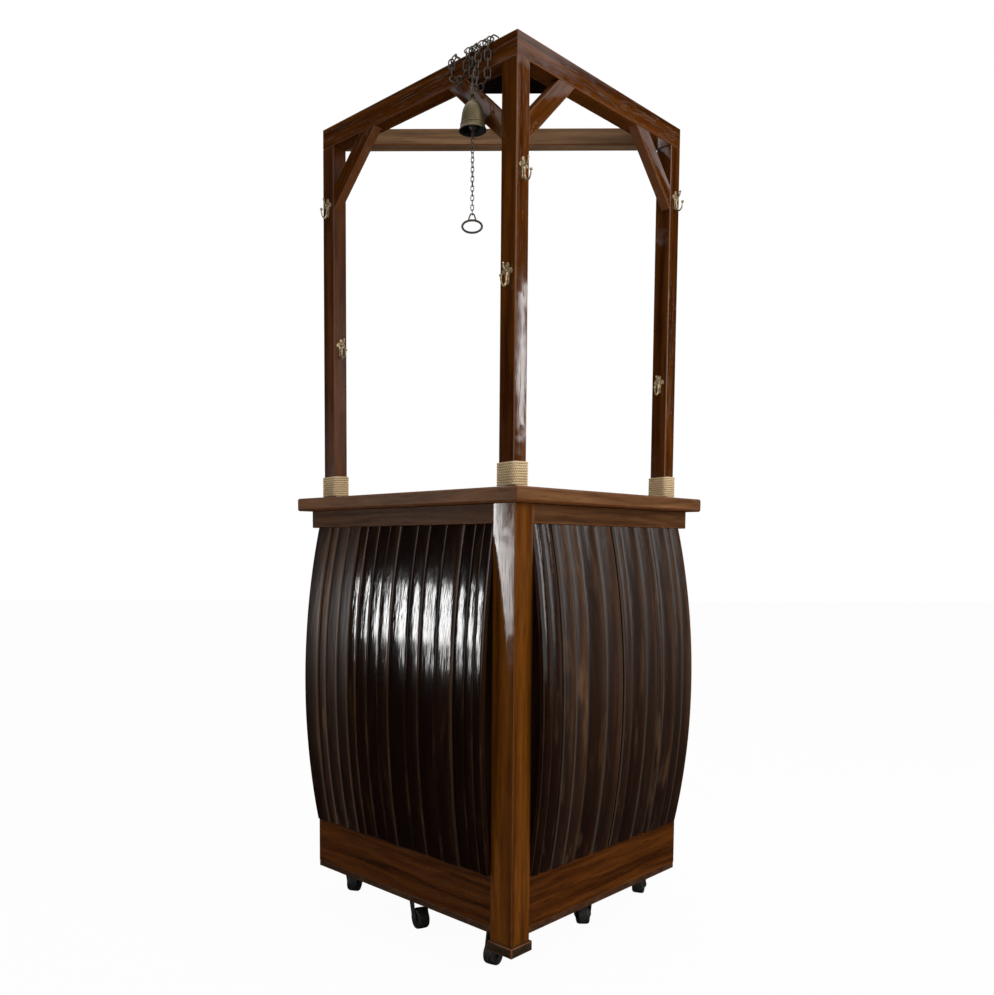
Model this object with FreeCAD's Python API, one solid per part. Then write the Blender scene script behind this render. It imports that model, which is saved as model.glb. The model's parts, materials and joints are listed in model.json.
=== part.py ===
import FreeCAD, Part
import math
import os
from FreeCAD import Rotation, Vector

# Corner bar counter on casters: a base with two bowed stave faces, a mitred top and a three-post canopy
# with a chain-hung bell. Plan sizes run along each face from the front corner (along) and square to it,
# towards the inside (inset). Sizes are in millimetres and heights start at the floor.

# Counter top
TOP_HEIGHT = 1050.0
TOP_THICK = 32.0
TOP_OVERHANG = 25.0
TOP_END_OVERHANG = 30.0
TOP_BACK_OVERHANG = 25.0
TOP_EDGE_ROUND = 4.0

# Base carcass
CORNER_POST = 60.0
CORNER_POST_FOOT = 78.0
PAD_THICK = 22.0
PAD_PROUD = 5.0
APRON_OVERHANG = 19.0
APRON_HEIGHT = 43.0
APRON_RECESS = 1.0
SKIRT_LENGTH = 661.0
SKIRT_TOP = 220.0
SKIRT_RECESS = 3.0
SKIRT_THICK = 21.0
BOARD_UNDERSIDE = 90.0
BOARD_THICK = 14.0
BOARD_RECESS = 5.0
END_PANEL_THICK = 18.0
END_DEPTH = 125.0
LINING_THICK = 6.0
BATTEN_DEEP = 24.0
BATTEN_TALL = 30.0
CLEAT_CLEAR = 0.3
BACK_RAIL_TALL = 60.0
BACK_RAIL_THICK = 22.0
BACK_RAIL_SETBACK = 4.0
SHELF_UNDERSIDE = 553.0
SHELF_THICK = 16.0
SHELF_BACK_SETBACK = 40.0
BOARD_ARRIS = 1.5

# Bowed staves; shares give each stave's part of its face, counted outwards from the corner post
STAVE_THICK = 13.5
STAVE_BULGE = 44.0
STAVE_TUCK = 2.0
STAVE_FOOT_PROUD = 8.0
STAVE_GAP = 1.6
STAVE_END_SETBACK = 6.0
STAVE_PLAY = 1.5
STAVE_TOP_GAP = 0.3
STAVE_ROLL = 2.4
STAVE_STEP = 2.6
LEFT_SHARES = (25, 26, 32, 54, 53, 39, 57, 38, 40, 39, 30, 42, 45, 27, 54)
RIGHT_SHARES = (26, 38, 42, 44, 70, 65, 31, 64, 47, 19, 58, 33, 47)

# Canopy
CANOPY_INSET = 36.0
CANOPY_LENGTH = 673.0
CANOPY_TOP = 1975.0
POST_SIZE = 42.0
POST_ARRIS = 3.0
BEAM_HEIGHT = 50.0
BACK_BEAM_HEIGHT = 40.0
BACK_BEAM_THICK = 38.0
BACK_BEAM_DROP = 5.0
BRACE_REACH = 156.0
BRACE_WIDTH = 40.0
BRACE_THICK = 24.0
BRACE_RECESS = 1.0
GUSSET_DEPTH = 106.0
GUSSET_THICK = 18.0
POST_BACK_MARGIN = 30.0

# Rope wraps at the feet of the canopy posts
ROPE = 6.6
ROPE_PITCH = 7.1
ROPE_SIDES = 30
ROPE_SEAT = 0.3

# Cast hooks: plate, lower hook and upper horn; each is set so far below the canopy's top
HOOK_PLATE = 2.5
HOOK_CENTRE_LOBE = 7.5
HOOK_SIDE_LOBE = 4.6
HOOK_TOP_LOBE = 5.2
HOOK_FOOT_LOBE = 4.6
HOOK_SPREAD = 8.6
HOOK_RISE = 20.0
HOOK_DROP = 15.0
HOOK_WIRE = 4.4
HOOK_REACH = 19.0
HOOK_BEND = 5.5
HOOK_BALL = 3.3
HOOK_HORN_REACH = 12.0
HOOK_SIDES = 8
HOOK_FRONT_RIGHT_BELOW = 272.0
HOOK_FRONT_LEFT_BELOW = 485.0
HOOK_LEFT_OUTER_BELOW = 200.0
HOOK_LEFT_INNER_BELOW = 546.0
HOOK_RIGHT_OUTER_BELOW = 183.0
HOOK_RIGHT_INNER_BELOW = 638.0

# Chain on the beam
LINK_WIRE = 3.5
LINK_WIDTH = 16.0
LINK_PITCH = 18.0
LINK_PLAY = 0.3
LINK_SEAT = 0.3
LINK_SIDES = 4
HANGER_LINKS = 6
SWAG_SIDE_LINKS = 4
OUTER_SWAG_SIDE_LINKS = 2
SWAG_SPACING = 16.5

# Bell, clapper, pull chain and handle
BELL_ALONG = 130.0
BELL_CLEAR = 2.0
BELL_MOUTH_RADIUS = 29.0
BELL_WAIST_RADIUS = 22.5
BELL_WAIST_HEIGHT = 28.0
BELL_SHOULDER_RADIUS = 15.0
BELL_SHOULDER_HEIGHT = 51.0
BELL_CROWN_RADIUS = 8.0
BELL_HEIGHT = 61.0
BELL_WALL = 3.0
BELL_SIDES = 32
BELL_EYE_RADIUS = 6.0
BELL_EYE_WIRE = 4.0
BELL_STEM = 2.0
STAPLE_WIRE = 3.0
STAPLE_SPAN = 9.0
STAPLE_DROP = 7.0
CLAPPER_ROD = 4.0
CLAPPER_BALL = 8.0
CLAPPER_LENGTH = 54.0
CLAPPER_EYE_RADIUS = 3.6
CLAPPER_EYE_WIRE = 2.4
CLAPPER_SIDES = 16
PULL_WIRE = 1.8
PULL_WIDTH = 8.0
PULL_PITCH = 9.7
PULL_LINKS = 17
PULL_PLAY = 0.3
PULL_SIDES = 4
HANDLE_WIRE = 4.6
HANDLE_WIDTH = 46.0
HANDLE_HEIGHT = 30.0
HANDLE_LOOP_WIDTH = 15.0
HANDLE_LOOP_HEIGHT = 13.0
HANDLE_LOOP_TOP = 7.0
HANDLE_LOOP_WIRE = 3.0

# Swivel casters
CASTER_PLATE = 52.0
CASTER_PLATE_THICK = 3.0
CASTER_RACE_RADIUS = 13.0
CASTER_RACE_TALL = 6.0
CASTER_GAP = 0.4
KINGPIN_RADIUS = 4.0
KINGPIN_NUT_RADIUS = 6.5
KINGPIN_NUT_TALL = 3.0
FORK_THICK = 2.5
FORK_CROWN_RADIUS = 14.0
FORK_AXLE_RADIUS = 8.0
WHEEL_RADIUS = 25.0
WHEEL_WIDTH = 30.0
WHEEL_SHOULDER = 4.0
WHEEL_SIDES = 20
WHEEL_SIDE_CLEAR = 1.2
AXLE_RADIUS = 3.0
AXLE_HEAD_RADIUS = 5.0
AXLE_HEAD_TALL = 1.8
FIT_CLEAR = 0.08
CASTER_TRAIL = 18.0
FRONT_CASTER_ALONG = 95.0
FRONT_CASTER_INSET = 64.0
MID_CASTER_ALONG = 359.0
MID_CASTER_INSET = 71.0
FAR_CASTER_ALONG = 632.0
FAR_CASTER_INSET = 92.0
CASTER_HEADINGS = {"front": 240.0, "left_mid": 295.0, "left_far": 75.0, "right_mid": 90.0, "right_far": 70.0}

LEFT = -1
RIGHT = 1
SLANT = math.sqrt(0.5)
UP = Vector(0, 0, 1)

# Plan depths that follow from the sizes above
APRON_LENGTH = SKIRT_LENGTH + APRON_OVERHANG
TOP_LENGTH = APRON_LENGTH + TOP_END_OVERHANG
CANOPY_INNER = CANOPY_INSET + POST_SIZE
BASE_BACK = SLANT * (SKIRT_LENGTH + END_DEPTH)
TOP_BACK = max(BASE_BACK + TOP_BACK_OVERHANG, SLANT * (CANOPY_LENGTH + CANOPY_INNER) + POST_BACK_MARGIN)
TOP_FRONT = -2 * SLANT * TOP_OVERHANG
PLAN_SHIFT = -(TOP_FRONT + TOP_BACK) / 2

# Heights that follow from the sizes above
TOP_UNDERSIDE = TOP_HEIGHT - TOP_THICK
APRON_UNDERSIDE = TOP_UNDERSIDE - APRON_HEIGHT
BOARD_TOP = BOARD_UNDERSIDE + BOARD_THICK
PAD_UNDERSIDE = CORNER_POST_FOOT - PAD_THICK
BEAM_UNDERSIDE = CANOPY_TOP - BEAM_HEIGHT
APRON_BACK = APRON_RECESS + STAVE_TUCK + STAVE_THICK + STAVE_PLAY
SKIRT_BACK = SKIRT_RECESS + SKIRT_THICK
LINING_BACK = APRON_BACK + LINING_THICK
PANEL_FRONT = max(LINING_BACK, SKIRT_BACK)
END_PANEL_FACE = SKIRT_LENGTH - END_PANEL_THICK


def spot(side, along, inset, z=0.0):
    """Point on one side of the plan, by its distance along the face and inside it."""
    return Vector(side * SLANT * (along - inset), SLANT * (along + inset) + PLAN_SHIFT, z)


def along_dir(side):
    return Vector(side * SLANT, SLANT, 0)


def inset_dir(side):
    return Vector(-side * SLANT, SLANT, 0)


def prism(points, height):
    """Upright solid on a closed outline that lies level."""
    face = Part.Face(Part.makePolygon(points + [points[0]]))
    return face.extrude(UP * height)


def leg_prism(side, outline, z0, z1):
    """Upright solid on an outline given as (along, inset) pairs on one side."""
    return prism([spot(side, a, i, z0) for a, i in outline], z1 - z0)


def leg_box(side, a0, a1, i0, i1, z0, z1):
    return leg_prism(side, [(a0, i0), (a1, i0), (a1, i1), (a0, i1)], z0, z1)


def eased(solid, size, keep=lambda edge: True):
    """Solid with its chosen straight edges taken off at 45 degrees."""
    return solid.makeChamfer(size, [edge for edge in solid.Edges if keep(edge)])


def rounded_uprights(solid, radius):
    uprights = [e for e in solid.Edges if abs(e.tangentAt(e.FirstParameter).z) > 0.99]
    return solid.makeFillet(radius, uprights)


def chamfered(points, cut):
    """Path with each inner corner replaced by a short slanting run."""
    path = [points[0]]
    for before, corner, after in zip(points, points[1:], points[2:]):
        path.append(corner + (before - corner).normalize() * cut)
        path.append(corner + (after - corner).normalize() * cut)
    return path + [points[-1]]


def bar_along(points, radius, sides=6, lead=0.5):
    """Bar of many-sided section along straight runs that meet in mitres; lead turns the section by that
    share of a side."""
    heading = (points[1] - points[0]).normalize()
    level = UP if abs(heading.z) < 0.9 else Vector(1, 0, 0)
    across = heading.cross(level).normalize()
    ring = []
    for count in range(sides + 1):
        turn = 360.0 * (count + lead) / sides
        ring.append(points[0] + Rotation(heading, turn).multVec(across) * radius)
    bar = Part.makePolygon(points).makePipeShell([Part.makePolygon(ring)], True, False, 1)
    return bar.removeSplitter()


def turned(profile, origin, sides):
    """Many-sided turned solid on an upright axis; the profile is (radius, height) pairs from foot to head."""
    rings = []
    for radius, height in profile:
        start = Vector(radius, 0, height)
        rings.append([origin + Rotation(UP, 360.0 * (n + 0.5) / sides).multVec(start) for n in range(sides)])
    outlines = [rings[0], rings[-1]]
    for low, high in zip(rings, rings[1:]):
        for n in range(sides):
            outlines.append([low[n - 1], low[n], high[n], high[n - 1]])
    faces = [Part.Face(Part.makePolygon(outline + [outline[0]])) for outline in outlines]
    solid = Part.Solid(Part.Shell(faces))
    if solid.Volume < 0:
        solid.reverse()
    return solid


def stood_on(solid, origin, x_dir, y_dir, z_dir):
    """Copy of a solid built about the origin, turned to the given axes and moved into place."""
    placed = solid.copy()
    placed.Placement = FreeCAD.Placement(origin, Rotation(x_dir, y_dir, z_dir, "ZXY"))
    return placed


def save(name, *solids):
    shape = solids[0] if len(solids) == 1 else Part.makeCompound(list(solids))
    shape.exportStep("parts/" + name + ".step")


def side_name(side):
    return "left" if side == LEFT else "right"


# Counter top: two boards that meet in a mitre from the front corner to the middle of the back edge
def top_board(side):
    back_inset = TOP_BACK / SLANT - TOP_LENGTH
    outline = [spot(side, -TOP_OVERHANG, -TOP_OVERHANG, TOP_UNDERSIDE),
               spot(side, TOP_LENGTH, -TOP_OVERHANG, TOP_UNDERSIDE),
               spot(side, TOP_LENGTH, back_inset, TOP_UNDERSIDE),
               Vector(0, TOP_BACK + PLAN_SHIFT, TOP_UNDERSIDE)]
    board = prism(outline, TOP_THICK)
    return eased(board, TOP_EDGE_ROUND, lambda e: e.CenterOfMass.x * side > 1)


# Base carcass
def corner_post():
    outline = [(0, 0), (CORNER_POST, 0), (CORNER_POST, CORNER_POST), (0, CORNER_POST)]
    post = leg_prism(LEFT, outline, CORNER_POST_FOOT, TOP_UNDERSIDE)
    return rounded_uprights(post, BOARD_ARRIS)


def pad_block():
    low = -PAD_PROUD
    high = CORNER_POST + PAD_PROUD
    block = leg_box(LEFT, low, high, low, high, PAD_UNDERSIDE, CORNER_POST_FOOT)
    return eased(block, BOARD_ARRIS)


def skirt(side):
    board = leg_box(side, CORNER_POST, SKIRT_LENGTH, SKIRT_RECESS, SKIRT_BACK, BOARD_TOP, SKIRT_TOP)
    return eased(board, BOARD_ARRIS)


def apron(side):
    board = leg_box(side, CORNER_POST, APRON_LENGTH, APRON_RECESS, APRON_BACK, APRON_UNDERSIDE, TOP_UNDERSIDE)
    return eased(board, BOARD_ARRIS)


def bottom_board():
    back_inset = END_DEPTH
    left = [(SKIRT_LENGTH, back_inset), (SKIRT_LENGTH, BOARD_RECESS), (CORNER_POST, BOARD_RECESS)]
    points = [spot(LEFT, a, i, BOARD_UNDERSIDE) for a, i in left]
    points.append(spot(LEFT, CORNER_POST, CORNER_POST, BOARD_UNDERSIDE))
    points += [spot(RIGHT, a, i, BOARD_UNDERSIDE) for a, i in reversed(left)]
    return prism(points, BOARD_THICK)


def lining(side):
    return leg_box(side, CORNER_POST, SKIRT_LENGTH, APRON_BACK, LINING_BACK, SKIRT_TOP, TOP_UNDERSIDE)


def end_panel(side):
    return leg_box(side, END_PANEL_FACE, SKIRT_LENGTH, PANEL_FRONT, END_DEPTH, BOARD_TOP, TOP_UNDERSIDE)


def upper_batten(side):
    low = APRON_UNDERSIDE - BATTEN_TALL
    deep = LINING_BACK + BATTEN_DEEP
    return leg_box(side, CORNER_POST, END_PANEL_FACE, LINING_BACK, deep, low, TOP_UNDERSIDE)


def stave_cleat(side):
    face = SKIRT_RECESS - STAVE_FOOT_PROUD + STAVE_THICK + STAVE_PLAY + CLEAT_CLEAR
    high = SKIRT_TOP + BATTEN_TALL
    return leg_box(side, CORNER_POST, SKIRT_LENGTH - STAVE_END_SETBACK, face, APRON_BACK, SKIRT_TOP, high)


def shelf_bearer(side):
    low = SHELF_UNDERSIDE - BATTEN_TALL
    deep = LINING_BACK + BATTEN_DEEP
    return leg_box(side, CORNER_POST, END_PANEL_FACE, LINING_BACK, deep, low, SHELF_UNDERSIDE)


def shelf():
    back_inset = END_DEPTH - SHELF_BACK_SETBACK
    left = [(END_PANEL_FACE, back_inset), (END_PANEL_FACE, LINING_BACK), (CORNER_POST, LINING_BACK)]
    points = [spot(LEFT, a, i, SHELF_UNDERSIDE) for a, i in left]
    points.append(spot(LEFT, CORNER_POST, CORNER_POST, SHELF_UNDERSIDE))
    points += [spot(RIGHT, a, i, SHELF_UNDERSIDE) for a, i in reversed(left)]
    return prism(points, SHELF_THICK)


def back_rail():
    back = SLANT * (END_PANEL_FACE + END_DEPTH) - BACK_RAIL_SETBACK
    points = []
    for side, depths in ((LEFT, (back, back - BACK_RAIL_THICK)), (RIGHT, (back - BACK_RAIL_THICK, back))):
        for depth in depths:
            points.append(spot(side, END_PANEL_FACE, depth / SLANT - END_PANEL_FACE))
    low = TOP_UNDERSIDE - BACK_RAIL_TALL
    return prism([p + UP * low for p in points], BACK_RAIL_TALL)


# Bowed staves: each is the bow's side view, drawn with arcs and swept across the stave's width
def stave_bow(width):
    """One stave about its own middle line: x across the width, y inwards from the face, z up."""
    foot = SKIRT_TOP
    head = APRON_UNDERSIDE - STAVE_TOP_GAP
    middle = (foot + head) / 2
    foot_y = SKIRT_RECESS - STAVE_FOOT_PROUD
    head_y = APRON_RECESS + STAVE_TUCK
    points = [(foot_y, foot), (-STAVE_BULGE, middle), (head_y, head)]
    front = [Vector(-width / 2, y, z) for y, z in points]
    rear = [Vector(-width / 2, y + STAVE_THICK, z) for y, z in points]
    outline = Part.Wire([Part.Arc(*front).toShape(),
                         Part.LineSegment(front[2], rear[2]).toShape(),
                         Part.Arc(*reversed(rear)).toShape(),
                         Part.LineSegment(rear[0], front[0]).toShape()])
    return Part.Face(outline).extrude(Vector(width, 0, 0))


def stave_face(side, shares):
    """All the staves of one face, each a little turned and stepped in or out against its neighbours."""
    start = CORNER_POST + STAVE_GAP
    run = SKIRT_LENGTH - STAVE_END_SETBACK - start
    unit = run / sum(shares)
    staves = []
    along = start
    for count, share in enumerate(shares):
        width = share * unit - STAVE_GAP
        stave = stave_bow(width)
        roll = STAVE_ROLL * math.sin(2.3 * count + side)
        stave.rotate(Vector(0, 0, 0), UP, roll)
        step = STAVE_STEP * math.sin(1.7 * count + 0.6 * side)
        turned_in = abs(math.sin(math.radians(roll))) * width / 2
        slack = min(STAVE_PLAY - turned_in, step)
        origin = spot(side, along + width / 2, slack)
        across = along_dir(side) * side
        staves.append(stood_on(stave, origin, across, inset_dir(side), UP))
        along += share * unit
    return staves


# Canopy
def canopy_post(along, inset, side):
    post = leg_box(side, along, along + POST_SIZE, inset, inset + POST_SIZE, TOP_HEIGHT, BEAM_UNDERSIDE)
    return rounded_uprights(post, POST_ARRIS)


def side_beam(side):
    outline = [(CANOPY_INSET, CANOPY_INSET), (CANOPY_LENGTH, CANOPY_INSET),
               (CANOPY_LENGTH, CANOPY_INNER), (CANOPY_INNER, CANOPY_INNER)]
    beam = leg_prism(side, outline, BEAM_UNDERSIDE, CANOPY_TOP)
    return eased(beam, BOARD_ARRIS, lambda e: e.CenterOfMass.x * side > 1)


def back_beam():
    middle = SLANT * (CANOPY_LENGTH + CANOPY_INNER) - SLANT * POST_SIZE
    points = []
    for side, half in ((LEFT, (0.5, -0.5)), (RIGHT, (-0.5, 0.5))):
        for share in half:
            depth = middle + share * BACK_BEAM_THICK
            points.append(spot(side, depth / SLANT - CANOPY_INNER, CANOPY_INNER))
    low = CANOPY_TOP - BACK_BEAM_DROP - BACK_BEAM_HEIGHT
    beam = prism([p + UP * low for p in points], BACK_BEAM_HEIGHT)
    return eased(beam, BOARD_ARRIS, lambda e: abs(e.tangentAt(e.FirstParameter).x) > 0.99)


def knee_brace(side, foot, heading):
    """Brace at 45 degrees from a post's face at foot to the beam above, reaching the way of heading."""
    inner = BRACE_REACH - BRACE_WIDTH / SLANT
    outline = [(foot, BEAM_UNDERSIDE - BRACE_REACH), (foot + heading * BRACE_REACH, BEAM_UNDERSIDE),
               (foot + heading * inner, BEAM_UNDERSIDE), (foot, BEAM_UNDERSIDE - inner)]
    near = CANOPY_INSET + BRACE_RECESS
    points = [spot(side, a, near, z) for a, z in outline]
    face = Part.Face(Part.makePolygon(points + [points[0]]))
    brace = face.extrude(inset_dir(side) * BRACE_THICK)
    slanted = lambda e: abs(abs(e.tangentAt(e.FirstParameter).z) - SLANT) < 0.01
    return eased(brace, BOARD_ARRIS, slanted)


def corner_gusset():
    back = 2 * SLANT * CANOPY_INNER + GUSSET_DEPTH
    along = back / SLANT - CANOPY_INNER
    points = [spot(LEFT, CANOPY_INNER, CANOPY_INNER), spot(RIGHT, along, CANOPY_INNER),
              spot(LEFT, along, CANOPY_INNER)]
    return prism([p + UP * BEAM_UNDERSIDE for p in points], GUSSET_THICK)


# Rope wraps: one tube that climbs round the square post, straight on the faces and bent at the corners
def rope_path(side, along, inset):
    off = ROPE / 2 + ROPE_SEAT
    low_a, high_a = along - off, along + POST_SIZE + off
    low_i, high_i = inset - off, inset + POST_SIZE + off
    corners = [(low_a, low_i), (high_a, low_i), (high_a, high_i), (low_a, high_i)]
    points = []
    for count in range(ROPE_SIDES + 1):
        a, i = corners[count % 4]
        points.append(spot(side, a, i, TOP_HEIGHT + off + count * ROPE_PITCH / 4))
    points[0] = (points[0] + points[1]) / 2
    points[-1] = (points[-2] + points[-1]) / 2
    # The slanting run across a corner touches the arc that keeps the seat's clearance from the post's arris
    return chamfered(points, (off + POST_ARRIS) * (1 / SLANT - 1) / SLANT)


def coil_gap(points):
    """Least clear distance between one turn of the rope and the next, on points of its middle line."""
    path = Part.makePolygon(points)
    spacing = 2.0
    turn = 4 * path.Length / ROPE_SIDES
    marks = path.discretize(int(path.Length / spacing))
    skip = int(0.7 * turn / spacing)
    reach = int(1.4 * turn / spacing)
    least = min(marks[n].distanceToPoint(marks[m])
                for n in range(len(marks)) for m in range(n + skip, min(n + reach, len(marks))))
    return least - ROPE


# Cast hooks
def hook_casting():
    """Hook about its fixing point: x across the plate, y into the post, z up."""
    def lobe(x, z, radius):
        start = Vector(0, 0, radius)
        turns = [Rotation(Vector(0, 1, 0), 360.0 * (n + 0.5) / HOOK_SIDES) for n in range(HOOK_SIDES)]
        points = [Vector(x, 0, z) + turn.multVec(start) for turn in turns]
        return Part.Face(Part.makePolygon(points + [points[0]]))
    half = HOOK_FOOT_LOBE
    waist = [Vector(-half, 0, -HOOK_DROP), Vector(half, 0, -HOOK_DROP), Vector(half / 2, 0, HOOK_RISE),
             Vector(-half / 2, 0, HOOK_RISE), Vector(-half, 0, -HOOK_DROP)]
    lobes = [lobe(0, HOOK_RISE, HOOK_TOP_LOBE), lobe(0, -HOOK_DROP, HOOK_FOOT_LOBE),
             lobe(-HOOK_SPREAD, HOOK_CENTRE_LOBE, HOOK_SIDE_LOBE),
             lobe(HOOK_SPREAD, HOOK_CENTRE_LOBE, HOOK_SIDE_LOBE),
             Part.Face(Part.makePolygon(waist))]
    outline = lobe(0, HOOK_CENTRE_LOBE / 2, HOOK_CENTRE_LOBE).fuse(lobes).removeSplitter()
    plate = outline.extrude(Vector(0, -HOOK_PLATE, 0))
    seat = -HOOK_WIRE / 2 - HOOK_PLATE / 10
    low = -HOOK_DROP - HOOK_REACH / 2
    tip = Vector(0, -HOOK_REACH - HOOK_PLATE, low + HOOK_REACH)
    hook_line = [Vector(0, seat, HOOK_CENTRE_LOBE / 2), Vector(0, seat - HOOK_BEND / 2, low),
                 Vector(0, -HOOK_REACH, low), tip]
    horn_line = [Vector(0, seat, HOOK_CENTRE_LOBE),
                 Vector(0, -HOOK_HORN_REACH, HOOK_CENTRE_LOBE + HOOK_PLATE),
                 Vector(0, -HOOK_HORN_REACH - HOOK_PLATE, HOOK_RISE)]
    pieces = [bar_along(chamfered(line, HOOK_BEND), HOOK_WIRE / 2) for line in (hook_line, horn_line)]
    half = HOOK_BALL / 2
    bead = [(half, -HOOK_BALL), (HOOK_BALL, -half), (HOOK_BALL, half), (half, HOOK_BALL)]
    return plate.fuse(pieces + [turned(bead, tip, HOOK_SIDES)]).removeSplitter()


def hooks():
    casting = hook_casting()
    middle = POST_SIZE / 2
    front = CANOPY_INSET + middle
    far = CANOPY_LENGTH - middle
    inner = CANOPY_LENGTH - POST_SIZE
    outer_faces = [(RIGHT, front, HOOK_FRONT_RIGHT_BELOW), (LEFT, front, HOOK_FRONT_LEFT_BELOW),
                   (LEFT, far, HOOK_LEFT_OUTER_BELOW), (RIGHT, far, HOOK_RIGHT_OUTER_BELOW)]
    placed = []
    for side, along, below in outer_faces:
        into = inset_dir(side)
        place = spot(side, along, CANOPY_INSET, CANOPY_TOP - below)
        placed.append(stood_on(casting, place, into.cross(UP), into, UP))
    for side, below in ((LEFT, HOOK_LEFT_INNER_BELOW), (RIGHT, HOOK_RIGHT_INNER_BELOW)):
        into = along_dir(side)
        place = spot(side, inner, front, CANOPY_TOP - below)
        placed.append(stood_on(casting, place, into.cross(UP), into, UP))
    return placed


# Chains: every link is a round bar bent to an oval, set between two neighbouring joints of the chain
def bite(wire, play):
    """How far the middle of a link's end bar lies beyond its joint, so that two links almost touch."""
    return (wire + play) / 2


def link(pitch, wire, width, play, sides):
    """Oval link about its middle: long axis along z, flat in the x z plane."""
    side = (width - wire) / 2
    end = pitch / 2 + bite(wire, play)
    corners = [Vector(side, 0, 0), Vector(side, 0, end), Vector(-side, 0, end),
               Vector(-side, 0, -end), Vector(side, 0, -end), Vector(side, 0, 0)]
    return bar_along(chamfered(corners, side / (1 + SLANT)), wire / 2, sides, 0)


def chain(joints, across, twist, wire, width, play, sides):
    """Links from joint to joint; each is turned a quarter, and by the twist, against the link before it."""
    links = []
    heading = (joints[1] - joints[0]).normalize()
    for start, end in zip(joints, joints[1:]):
        lie = (end - start).normalize()
        bend = heading.cross(lie)
        if bend.Length > 1e-6:
            across = Rotation(bend, math.degrees(heading.getAngle(lie))).multVec(across)
        heading = lie
        oval = link(start.distanceToPoint(end), wire, width, play, sides)
        links.append(stood_on(oval, (start + end) / 2, across, lie.cross(across), lie))
        across = Rotation(lie, 90.0 + twist).multVec(across)
    return links


# A link that crosses a beam's arris at 45 degrees clears it when the chain runs this far off the faces
LINK_STANDOFF = SLANT * (LINK_WIDTH / 2 - BOARD_ARRIS) + LINK_SEAT
CHAIN_OFF = SLANT * (LINK_STANDOFF + LINK_PITCH / 2)
CHAIN_TOP = CANOPY_TOP + CHAIN_OFF
CHAIN_OUTER = CANOPY_INSET - CHAIN_OFF
CORNER_CUT = SLANT * LINK_PITCH
SWAG_WIDTH = 2 * CORNER_CUT + LINK_PITCH
BELL_INSET = CANOPY_INSET + BRACE_RECESS - BELL_MOUTH_RADIUS - BELL_CLEAR


def slanted_across(lie, level):
    """Direction halfway between level and the square to level and lie, as a chain's first link lies."""
    return (level + lie.cross(level)).normalize()


def over_edge(along):
    """Joints of a chain from the middle of the beam's top to just below its outer top edge."""
    return [spot(LEFT, along, CHAIN_OUTER + CORNER_CUT + LINK_PITCH, CHAIN_TOP),
            spot(LEFT, along, CHAIN_OUTER + CORNER_CUT, CHAIN_TOP),
            spot(LEFT, along, CHAIN_OUTER, CHAIN_TOP - CORNER_CUT)]


def hanger_end():
    """Lowest joint of the chain that carries the bell, one taut run below the beam's outer edge."""
    drop = HANGER_LINKS * LINK_PITCH
    out = CHAIN_OUTER - BELL_INSET
    return spot(LEFT, BELL_ALONG, BELL_INSET, CHAIN_TOP - CORNER_CUT - math.sqrt(drop ** 2 - out ** 2))


def hanger_chain():
    joints = over_edge(BELL_ALONG)
    top, end = joints[-1], hanger_end()
    joints += [top + (end - top) * (n / HANGER_LINKS) for n in range(1, HANGER_LINKS + 1)]
    # From the link on the arris on, they come round by an eighth of a turn: the last is square to the eye
    lie = -inset_dir(LEFT)
    twist = (-45.0 if HANGER_LINKS % 2 == 0 else 45.0) / (len(joints) - 3)
    across = Rotation(lie, -twist).multVec(slanted_across(lie, along_dir(LEFT)))
    return chain(joints, across, twist, LINK_WIRE, LINK_WIDTH, LINK_PLAY, LINK_SIDES)


def swag_chain(first, side_links):
    """Loop of chain draped over the beam's outer edge: down at first, across and up again."""
    last = first + SWAG_WIDTH
    head = CHAIN_TOP - CORNER_CUT
    turn = head - side_links * LINK_PITCH
    fall = [spot(LEFT, first, CHAIN_OUTER, head - n * LINK_PITCH) for n in range(1, side_links + 1)]
    rise = [spot(LEFT, last, CHAIN_OUTER, turn + n * LINK_PITCH) for n in range(side_links)]
    dip = [spot(LEFT, first + CORNER_CUT, CHAIN_OUTER, turn - CORNER_CUT),
           spot(LEFT, last - CORNER_CUT, CHAIN_OUTER, turn - CORNER_CUT)]
    joints = over_edge(first) + fall + dip + rise + over_edge(last)[::-1]
    across = slanted_across(-inset_dir(LEFT), along_dir(LEFT))
    return chain(joints, across, 0.0, LINK_WIRE, LINK_WIDTH, LINK_PLAY, LINK_SIDES)


def beam_chain():
    """The bell's hanger, a swag on both sides of it and a shorter one beyond."""
    first = BELL_ALONG - SWAG_WIDTH / 2
    beyond = first + SWAG_WIDTH + SWAG_SPACING
    return hanger_chain() + swag_chain(first, SWAG_SIDE_LINKS) + swag_chain(beyond, OUTER_SWAG_SIDE_LINKS)


# Bell, clapper, pull chain and handle, all on the bell's upright axis
HANGER_LIE = (hanger_end() - over_edge(BELL_ALONG)[-1]).normalize()
SWING_AXIS = inset_dir(LEFT)
HANDLE_AXIS = Vector(0, 1, 0)
BELL_PIVOT = hanger_end() + HANGER_LIE * bite(LINK_WIRE, LINK_PLAY)
EYE_CENTRE = BELL_PIVOT + UP * ((LINK_WIRE + BELL_EYE_WIRE) / 2 + LINK_PLAY - BELL_EYE_RADIUS)
BELL_TOP = EYE_CENTRE - UP * (BELL_EYE_RADIUS + BELL_STEM)
BELL_MOUTH = BELL_TOP - UP * BELL_HEIGHT
STAPLE = BELL_TOP - UP * (BELL_WALL + STAPLE_DROP)
CLAPPER_FOOT = STAPLE - UP * CLAPPER_LENGTH
PULL_BITE = bite(PULL_WIRE, PULL_PLAY)
PULL_TOP = CLAPPER_FOOT - UP * (CLAPPER_EYE_RADIUS - (CLAPPER_EYE_WIRE + PULL_PLAY) / 2)
PULL_PIVOT = PULL_TOP + UP * PULL_BITE
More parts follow.
